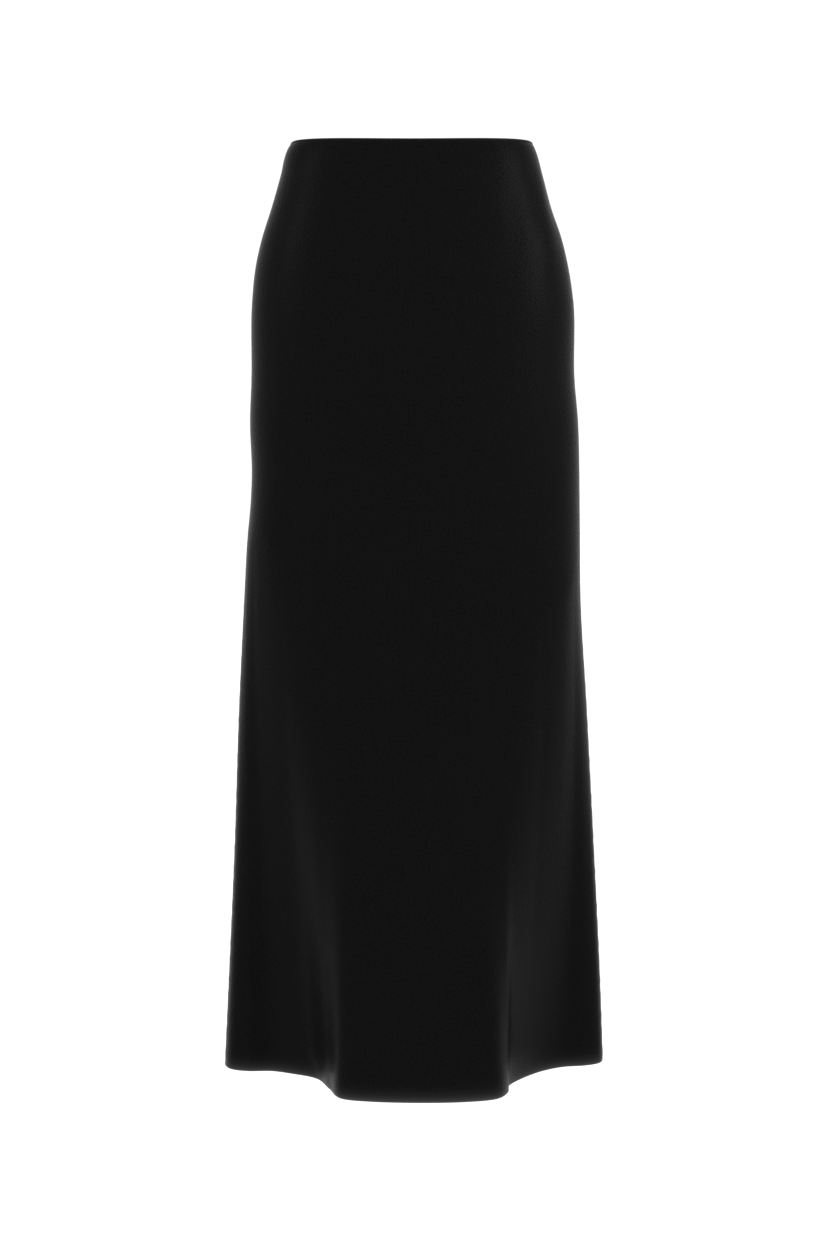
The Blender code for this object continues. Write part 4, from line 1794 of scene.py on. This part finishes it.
# ------------------------------------------------------------------ the concealed zip
@dataclass(frozen=True)
class ConcealedZip:
    """Concealed zip behind the centre-back seam, closed, with its slider and pull at the top.

    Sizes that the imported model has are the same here.

    Attributes:
        tape_width: Of one tape.
        tape_face: How deep the tape's face lies below the cloth's outer face.
        tape_cloth: Thickness of the tape.
        tape_columns: Distances of its columns from the seam, apart from the last at its edge.
        tape_fine: Drops of its upper rows, below its top.
        tape_even: How many even rows it has below them, and the drop of the highest.
        tape_seams: Distances of its two lines of stitches from the seam.
        tape_stitch: Length and thickness of one of those stitches.
        tape_stitch_top: Drop of the first stitch.
        tape_stitch_pitch: Their distance.
        top: Drop of its upper end.
        end: Drop of its lower end.
        stitches_short: How far above the lower end the stitches stop.
        teeth_short: How far above it the teeth stop.
        stop_short: How far above it the middle of the stop is.
        stop_block: The stop's width, depth and height.
        stop_rounding: Of its edges.
        tooth_pitch: Distance from one turn of a coil to its next.
        tooth_wire: Radius of the coil's filament.
        tooth_legs: Length of a turn's legs, and how far each lies from the turn's middle.
        tooth_depth: How deep the middle of the coil lies below the cloth's outer face.
        teeth_top: Drop of the first closed pair of teeth, just below the slider.
        slider_drop: Drop of the slider's middle.
        slope_step: The cloth's slope at the slider is read that far above and below it.
        block: Slider's block inside the seam: width, depth and height.
        block_face: Depth of the block's outer face.
        block_taper: Width of the block's foot and head, as shares of its full width.
        block_rounding: Of its edges.
        mouth_wall: Width of the rim round the mouth at its foot.
        mouth_depth: Of the mouth.
        neck: Slider's neck through the seam: width, depth and height.
        neck_proud: How far short of the cloth's outer face the neck stops.
        neck_rounding: Of its edges.
        arch_radius: Of the wire arch that carries the pull.
        arch_wire: Radius of its wire.
        arch_centre: Its centre in front of the cloth's outer face.
        hinge_proud: Hinge axis in front of the cloth's outer face.
        pull_thickness: Of the pull tab.
        pull_rounding: Of its edges.
        grip_height: How much thicker the tab is over the raised drops on both its faces.
        grip_rounding: Of their edges.
        grip: A raised drop's outline: shares of the belly's half width, and heights above it.
        pull_bar: How far the bar that goes through the arch reaches above the hinge.
        pull_arms: Half width of the pull at its eye, and of the eye.
        pull_shoulder: Rounding of its upper corners.
        pull_eye_end: How far below the hinge the eye ends.
        pull_waist: How far below the hinge the pull is slimmest, and half its width there.
        pull_belly: How far below the hinge it is widest, and half its width there.
        pull_toe: The same just above its end.
        pull_end: How far below the hinge it ends.
    """

    right: CutPiece
    left: CutPiece
    tape_width: float = 0.012
    tape_face: float = 0.00175
    tape_cloth: float = 0.0006
    tape_columns: tuple[float, ...] = (
        0.0, 0.001, 0.002, 0.003, 0.004, 0.006, 0.0075, 0.009, 0.0105,
    )
    tape_fine: tuple[float, ...] = (0.0125, 0.0150, 0.0180, 0.0205)
    tape_even: tuple[int, float] = (42, 0.024)
    tape_seams: Pair = (0.0046, 0.0098)
    tape_stitch: Pair = (0.0018, 0.0004)
    tape_stitch_top: float = 0.0225
    tape_stitch_pitch: float = 0.0025
    top: float = 0.0105
    end: float = 0.215
    stitches_short: float = 0.002
    teeth_short: float = 0.004
    stop_short: float = 0.0030
    stop_block: Triple = (0.0046, 0.0022, 0.0030)
    stop_rounding: float = 0.0005
    tooth_pitch: float = 0.0015
    tooth_wire: float = 0.00027
    tooth_legs: Pair = (0.0015, 0.00042)
    tooth_depth: float = 0.00300
    teeth_top: float = 0.0205
    slider_drop: float = 0.014
    slope_step: float = 0.004
    block: Triple = (0.0064, 0.0032, 0.0095)
    block_face: float = 0.0028
    block_taper: Pair = (0.86, 0.94)
    block_rounding: float = 0.00042
    mouth_wall: float = 0.00065
    mouth_depth: float = 0.0022
    neck: Triple = (0.0012, 0.0032, 0.0064)
    neck_proud: float = 0.0002
    neck_rounding: float = 0.00028
    arch_radius: float = 0.0023
    arch_wire: float = 0.0005
    arch_centre: float = 0.0010
    hinge_proud: float = 0.0013
    pull_thickness: float = 0.0012
    pull_rounding: float = 0.00022
    grip_height: float = 0.00030
    grip_rounding: float = 0.00014
    grip: tuple[Pair, ...] = (
        (0.0, 0.0052), (0.42, 0.0020), (0.60, -0.0005), (0.0, -0.0026),
    )
    pull_bar: float = 0.00055
    pull_arms: Pair = (0.0024, 0.0009)
    pull_shoulder: float = 0.0006
    pull_eye_end: float = 0.0042
    pull_waist: Pair = (0.0085, 0.0015)
    pull_belly: Pair = (0.0175, 0.0029)
    pull_toe: Pair = (0.0213, 0.0018)
    pull_end: float = 0.0220

    @staticmethod
    def gap(drop: float) -> float:
        """How far each back stops from the centre-back line: it parts for the slider's neck."""
        opened, closed = (drop - NECK_DROPS[0]) / NECK_EASE, (NECK_DROPS[1] - drop) / NECK_EASE
        return NECK_GAP * float(smooth_step(opened) * smooth_step(closed))

    def side(self, side: Side) -> tuple[CutPiece, int]:
        """The cut piece that a half of the zip is sewn to, and its seam there."""
        return (self.right, 1) if side is Side.RIGHT else (self.left, 0)

    def frame(self) -> Matrix:
        """Find the slider's place on the cloth.

        Returns:
            Its frame: X across, Y out of the cloth and Z up along it.
        """
        gore = self.right.gore
        at_seam = np.array([1.0])
        place, above, below = (
            Vector(gore.surface(at_seam, self.slider_drop + step)[0])
            for step in (0.0, -self.slope_step, self.slope_step)
        )
        across = Vector((1.0, 0.0, 0.0))
        up = Vector((0.0, above.y - below.y, above.z - below.z)).normalized()
        out = up.cross(across).normalized()
        frame_of_slider = Matrix((across, out, up)).transposed().to_4x4()
        frame_of_slider.translation = place
        return frame_of_slider

    def tape(self, side: Side) -> Mesh:
        """Build one tape, from its coil edge at the seam to its free edge.

        Args:
            side: Which half of the zip it is.

        Returns:
            The mesh.
        """
        piece, seam = self.side(side)
        count, highest = self.tape_even
        even = np.linspace(self.end, highest, count)
        drops = np.concatenate((even, self.tape_fine[::-1], [self.top]))
        away = np.array([*self.tape_columns, self.tape_width])
        return piece.strip(seam, away, drops, self.tape_face, self.tape_cloth)

    def tape_stitches(self, side: Side) -> Mesh:
        """Build the two lines of stitches that hold a tape to the seam allowance.

        Args:
            side: Which half of the zip it is.

        Returns:
            The mesh.
        """
        piece, seam = self.side(side)
        drops = np.arange(self.tape_stitch_top, self.end - self.stitches_short,
                          self.tape_stitch_pitch)
        seats = []
        for away in self.tape_seams:
            for drop in drops:
                share = float(piece.beside(seam, float(drop), away))
                seat = piece.seat(share, float(drop), self.tape_face + self.tape_cloth)
                seats.append(seat @ Matrix.Rotation(math.radians(90), 4, "Y"))
        return scatter(stitch_shape(*self.tape_stitch), seats)

    def tooth(self) -> Mesh:
        """Make one turn of a coil: a leg to the middle, a round head and a leg back behind it.

        Returns:
            The mesh.
        """
        leg, bend = self.tooth_legs
        lay_flat = Matrix(((0.0, 1.0, 0.0), (0.0, 0.0, 1.0), (1.0, 0.0, 0.0))).to_4x4()
        shape = bent_wire(self.tooth_wire, 6, hairpin(leg, bend, 4))
        bmesh.ops.transform(shape, matrix=lay_flat, verts=shape.verts[:])
        return finished_mesh(shape, 60.0)

    def coil(self) -> Mesh:
        """Build both coils, meshed, and the stop at their foot.

        Returns:
            The mesh.
        """
        seats = []
        for side, start in ((Side.RIGHT, 0.0), (Side.LEFT, 0.5)):
            piece, seam = self.side(side)
            turn = Matrix.Identity(4) if seam == 0 else Matrix.Rotation(math.pi, 4, "Z")
            count = int((self.end - self.teeth_short - self.teeth_top) / self.tooth_pitch)
            for i in range(count):
                drop = self.teeth_top + (i + start) * self.tooth_pitch
                seat = piece.seat(float(piece.beside(seam, drop, 0.0)), drop, self.tooth_depth)
                seats.append(seat @ turn @ Matrix.Rotation(math.pi, 4, "Z"))
        return join_meshes([scatter(self.tooth(), seats), self.stop()])

    def stop(self) -> Mesh:
        """Make the moulded stop round the lower end of both coils.

        Returns:
            The mesh.
        """
        shape = rounded_block(self.stop_block, self.stop_rounding, 2)
        seat = self.right.seat(1.0, self.end - self.stop_short, self.tooth_depth)
        bmesh.ops.transform(shape, matrix=seat, verts=shape.verts[:])
        return finished_mesh(shape)

    def slider(self) -> Mesh:
        """Die-cast slider: its body inside, a neck through the seam and a wire arch outside."""
        return join_meshes([self.slider_body(), self.slider_neck(), self.slider_arch()])

    def slider_body(self) -> Mesh:
        """Make the slider's body: narrower towards its foot, with a mouth for the coils.

        Returns:
            The mesh.
        """
        shape = bmesh.new()
        bmesh.ops.create_cube(shape, size=1.0)
        bmesh.ops.scale(shape, vec=self.block, verts=shape.verts[:])
        bmesh.ops.subdivide_edges(
            shape, edges=[e for e in shape.edges if abs((e.verts[0].co - e.verts[1].co).z) > 1e-6],
            cuts=2, use_grid_fill=True)
        foot, head = self.block_taper
        for vert in shape.verts:
            if vert.co.z < -self.block[2] / 4:
                vert.co.x *= foot
            elif vert.co.z > self.block[2] / 4:
                vert.co.x *= head
        mouth = [face for face in shape.faces if face.normal.z < -0.9]
        bmesh.ops.inset_region(shape, faces=mouth, thickness=self.mouth_wall, depth=0.0)
        bmesh.ops.translate(shape, vec=(0.0, 0.0, self.mouth_depth),
                            verts=list({vert for face in mouth for vert in face.verts}))
        rims = [edge for edge in shape.edges if edge.is_manifold and edge.calc_face_angle() > 0.6]
        bmesh.ops.bevel(shape, geom=rims, offset=self.block_rounding, offset_type="OFFSET",
                        segments=3, profile=0.5, affect="EDGES", material=-1)
        place = self.frame() @ Matrix.Translation((0.0, -self.block_face - self.block[1] / 2, 0.0))
        bmesh.ops.transform(shape, matrix=place, verts=shape.verts[:])
        return finished_mesh(shape)

    def slider_neck(self) -> Mesh:
        """Make the thin neck that runs in the seam.

        Returns:
            The mesh.
        """
        shape = rounded_block(self.neck, self.neck_rounding, 3)
        place = self.frame() @ Matrix.Translation((0.0, -self.neck_proud - self.neck[1] / 2, 0.0))
        bmesh.ops.transform(shape, matrix=place, verts=shape.verts[:])
        return finished_mesh(shape)

    def slider_arch(self) -> Mesh:
        """Make the wire arch outside, which the pull hangs on, with both its feet in the neck.

        Returns:
            The mesh.
        """
        leg = self.arch_centre + self.neck[1] / 3
        shape = bent_wire(self.arch_wire, 14, hairpin(leg, self.arch_radius, 16))
        place = self.frame() @ Matrix.Translation((0.0, self.arch_centre, 0.0))
        bmesh.ops.transform(shape, matrix=place, verts=shape.verts[:])
        return finished_mesh(shape)

    def pull(self) -> Mesh:
        """Build the teardrop pull tab, with a raised drop on each face for the thumb.

        Returns:
            The mesh.
        """
        plate = self.flat_shape(self.pull_outline(), self.pull_thickness, self.pull_rounding,
                                self.eye_outline())
        belly_drop, belly_half = self.pull_belly
        drop = [(belly_half * share, -belly_drop + above) for share, above in self.grip]
        drop += [(-x, y) for x, y in drop[2:0:-1]]
        grip = self.flat_shape(drop, self.pull_thickness + self.grip_height,
                               self.grip_rounding, None)
        mesh = join_meshes([plate, grip])
        mesh.transform(self.frame() @ Matrix.Translation((0.0, self.hinge_proud, 0.0))
                       @ Matrix.Rotation(math.radians(90), 4, "X"))
        mesh.shade_smooth()
        mesh.set_sharp_from_angle(angle=math.radians(40))
        return mesh

    def pull_outline(self) -> list[Pair]:
        """Draw the outline of the pull.

        Returns:
            Its points, from one shoulder round to the other.
        """
        arm, shoulder = self.pull_arms[0], self.pull_shoulder
        side = [(arm - shoulder, self.pull_bar), (arm, self.pull_bar - shoulder),
                (arm, -self.pull_eye_end)]
        side += [(half, -down) for down, half in (self.pull_waist, self.pull_belly, self.pull_toe)]
        return side + [(0.0, -self.pull_end)] + [(-x, y) for x, y in reversed(side)]

    def eye_outline(self) -> list[Pair]:
        """Draw the outline of the eye that goes round the arch.

        Returns:
            Its points, the first and the last of them square corners.
        """
        inner, low = self.pull_arms[1], -self.pull_eye_end
        return [
            (inner, -self.pull_bar), (inner, low + inner), (0.0, low), (-inner, low + inner),
            (-inner, -self.pull_bar),
        ]

    @staticmethod
    def flat_shape(outline: list[Pair], thickness: float, rounding: float,
                   hole: list[Pair] | None) -> Mesh:
        """Make a plate with rounded edges, lying in the XY plane.

        Args:
            outline: Points that its smooth edge goes through.
            thickness: Of the plate.
            rounding: Of its edges.
            hole: The same for a hole, with square corners at its first and last point.

        Returns:
            The mesh.
        """
        curve = bpy.data.curves.new("plate", "CURVE")
        curve.dimensions = "2D"
        curve.fill_mode = "BOTH"
        curve.extrude = thickness / 2 - rounding
        curve.bevel_depth = rounding
        curve.bevel_resolution = 2
        curve.offset = -rounding
        for points in filter(None, (outline, hole)):
            corners = (0, len(points) - 1) if points is hole else ()
            spline = curve.splines.new("BEZIER")
            spline.bezier_points.add(len(points) - 1)
            for i, (spot, (x, y)) in enumerate(zip(spline.bezier_points, points)):
                spot.co = (x, y, 0.0)
                spot.handle_left_type = spot.handle_right_type = (
                    "VECTOR" if i in corners else "AUTO")
            spline.use_cyclic_u = True
            spline.resolution_u = 8
        loose = made_mesh(put_in_scene("plate", curve))
        shape = bmesh.new()
        shape.from_mesh(loose)
        bpy.data.meshes.remove(loose)
        bpy.data.curves.remove(curve)
        return finished_mesh(shape)

    def make(self, finishes: Finishes) -> None:
        """Args:
            finishes: Of the object.
        """
        for side in Side:
            tape = place_piece(f"woven_tape_{side.value}", self.tape(side), finishes.tape,
                               slot=Slot.TAPE, replaces=[f"zip_tape_{side.value}"])
            seam_stitches = place_piece(f"tape_stitches_{side.value}", self.tape_stitches(side),
                                        finishes.thread, slot=Slot.TAPE)
        place_piece("zip_coil", self.coil(), finishes.coil, slot=Slot.TAPE)
        place_piece("die_cast_slider", self.slider(), finishes.lacquer, slot=Slot.LACQUER,
                    replaces=["zip_slider"])
        place_piece("teardrop_pull", self.pull(), finishes.lacquer, body=PULL_BODY,
                    slot=Slot.LACQUER, replaces=["zip_pull"])


# ------------------------------------------------------------------ the skirt as a whole
@dataclass
class Skirt:
    """The three cut pieces of the skirt with their inside finishing and the zip."""

    form: SkirtForm = field(default_factory=SkirtForm)

    def pieces(self) -> dict[str, CutPiece]:
        """Cut the pieces, with their seams, darts and creases.

        Returns:
            The pieces, by gore.
        """
        gores = self.form.cut()
        front, right, left = gores["front"], gores["right"], gores["left"]
        right_seam = Seam(closed_gap, Pucker(0.00016, phase=0.7))
        left_seam = Seam(closed_gap, Pucker(0.00014, phase=2.1))
        back_seam = Seam(ConcealedZip.gap, Pucker(0.00018, reach=0.011, phase=1.3))
        return {
            "front": CutPiece("crepe_front", front, (left_seam, right_seam), self.creases(front),
                              columns=150),
            "right": CutPiece("crepe_back_right", right, (right_seam, back_seam),
                              dart=Dart(share=0.52, end=0.115), columns=96),
            "left": CutPiece("crepe_back_left", left, (back_seam, left_seam),
                             dart=Dart(share=0.48, end=0.115), columns=96),
        }

    @staticmethod
    def creases(front: Gore) -> tuple[Crease, ...]:
        """Place the front's soft ridges and hollows, by their x at both ends.

        Args:
            front: The front gore.

        Returns:
            The ridges and hollows.
        """
        table = (
            # x at the top and the foot, drops there, half width, height
            ((-0.088, -0.096), (0.210, 0.520), 0.013, 0.0012),
            ((-0.120, -0.126), (0.240, 0.480), 0.016, -0.0010),
            ((0.118, 0.128), (0.010, 0.150), 0.014, 0.0011),
            ((0.092, 0.098), (0.020, 0.140), 0.014, -0.0009),
        )
        return tuple(
            Crease((front.share_at(x[0], drop[0]), front.share_at(x[1], drop[1])), drop, spread,
                   height)
            for x, drop, spread, height in table
        )

    def make(self, finishes: Finishes) -> None:
        """Build and dress every piece.

        Args:
            finishes: Of the object.
        """
        nodes = {"front": "front_panel", "right": "back_panel_right", "left": "back_panel_left"}
        pieces = self.pieces()
        for gore, piece in pieces.items():
            inside = InsideFinishing(piece)
            cloth = place_piece(piece.name, piece.mesh(), finishes.crepe, slot=Slot.CREPE,
                                replaces=[nodes[gore]])
            sewn = [
                place_piece(f"{piece.name}_allowances", inside.allowances(), finishes.crepe,
                            slot=Slot.CREPE),
                place_piece(f"{piece.name}_overlocking", inside.overlocking(), finishes.overlock,
                            slot=Slot.CREPE),
                place_piece(f"{piece.name}_stitches", inside.stitches(), finishes.thread,
                            slot=Slot.CREPE),
            ]
            piece.flat_size()
            piece.flat_area()
        ConcealedZip(pieces["right"], pieces["left"]).make(finishes)


# ------------------------------------------------------------------ studio
@dataclass(frozen=True)
class Studio:
    """White studio: a bright even dome, a soft lamp at each hip, a white floor and the camera.

    The dome behind the skirt draws the pale rims down its sides. The right lamp is the stronger
    one, and gives the soft light patch on that hip.

    Attributes:
        sky: Brightness of the dome.
        lamps: Each lamp's place, in metres, and its power in watts.
        lamp_size: Width and height of a lamp's face.
        lamp_aim: How far out from the middle, how far back and how high the lamps point.
        floor_glow: Light that the paper's own lamps add to it.
        floor_height: Of the floor, which is 0.3 m below the hem.
        floor_size: Side of the floor.
        camera_place: Where the camera stands.
        camera_tilt_deg: How far it looks down.
        lens_mm: Its focal length.
        film_mm: Height of its film.
    """

    sky: float = 1.06
    lamps: tuple[tuple[float, float, float, float], ...] = (
        (0.62, -0.22, 0.07, 2.3), (-0.62, -0.22, 0.10, 1.0),
    )
    lamp_size: Pair = (0.20, 0.30)
    lamp_aim: Triple = (0.13, -0.02, -0.13)
    floor_glow: float = 0.20
    floor_height: float = -1.25
    floor_size: float = 60.0
    camera_place: Triple = (0.0, -3.0, -0.2953)
    camera_tilt_deg: float = 3.331
    lens_mm: float = 87.125
    film_mm: float = 36.0

    def make(self) -> None:
        """Build the studio."""
        scene = bpy.context.scene
        scene.view_settings.view_transform = "Standard"
        world = bpy.data.worlds.new("white_dome")
        world.use_nodes = True
        dome = world.node_tree.nodes["Background"]
        dome.inputs["Color"].default_value = (1.0, 1.0, 1.0, 1.0)
        dome.inputs["Strength"].default_value = self.sky
        scene.world = world
        for lamp in self.lamps:
            self.lamp(*lamp)
        self.floor()
        self.camera()

    def lamp(self, x: float, y: float, z: float, watts: float) -> None:
        """Add one soft lamp, turned towards the hip on its side.

        Args:
            x: Its place to the right.
            y: Its place towards the back.
            z: Its height.
            watts: Its power.
        """
        light = bpy.data.lights.new("hip_lamp", "AREA")
        light.shape = "RECTANGLE"
        light.size, light.size_y = self.lamp_size
        light.energy = watts
        lamp = put_in_scene("hip_lamp", light)
        out, back, height = self.lamp_aim
        lamp.location = (x, y, z)
        aim = Vector((math.copysign(out, x), back, height)) - lamp.location
        lamp.rotation_euler = aim.to_track_quat("-Z", "Y").to_euler()

    def floor(self) -> None:
        """Lay the floor."""
        shape = bmesh.new()
        bmesh.ops.create_grid(shape, x_segments=1, y_segments=1, size=self.floor_size / 2)
        bmesh.ops.translate(shape, vec=(0.0, 0.0, self.floor_height), verts=shape.verts[:])
        mesh = bpy.data.meshes.new("studio_floor")
        shape.to_mesh(mesh)
        shape.free()
        mesh.materials.append(BackdropFinish(glow=self.floor_glow).make())
        floor = put_in_scene("studio_floor", mesh)
        floor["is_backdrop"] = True

    def camera(self) -> None:
        """Set up the camera."""
        camera = put_in_scene("camera", bpy.data.cameras.new("camera"))
        camera.data.sensor_fit = "VERTICAL"
        camera.data.sensor_height = self.film_mm
        camera.data.lens = self.lens_mm
        camera.location = self.camera_place
        camera.rotation_euler = (math.radians(90.0 - self.camera_tilt_deg), 0.0, 0.0)
        bpy.context.scene.camera = camera


def note_sizes(packed: Sequence[Sequence[float]], visual: Sequence[Sequence[float]]) -> None:
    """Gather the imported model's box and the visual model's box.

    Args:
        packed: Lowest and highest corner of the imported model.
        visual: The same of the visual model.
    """
    boxes = {
        name: [[float(value) for value in corner] for corner in box]
        for name, box in (("cad", packed), ("visual", visual))
    }


def main() -> None:
    """Build the studio and the skirt."""
    logging.basicConfig(level=logging.INFO, format="%(message)s")
    Studio().make()
    Skirt().make(Finishes())
    note_sizes(packed_box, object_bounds())


if __name__ == "__main__":
    main()
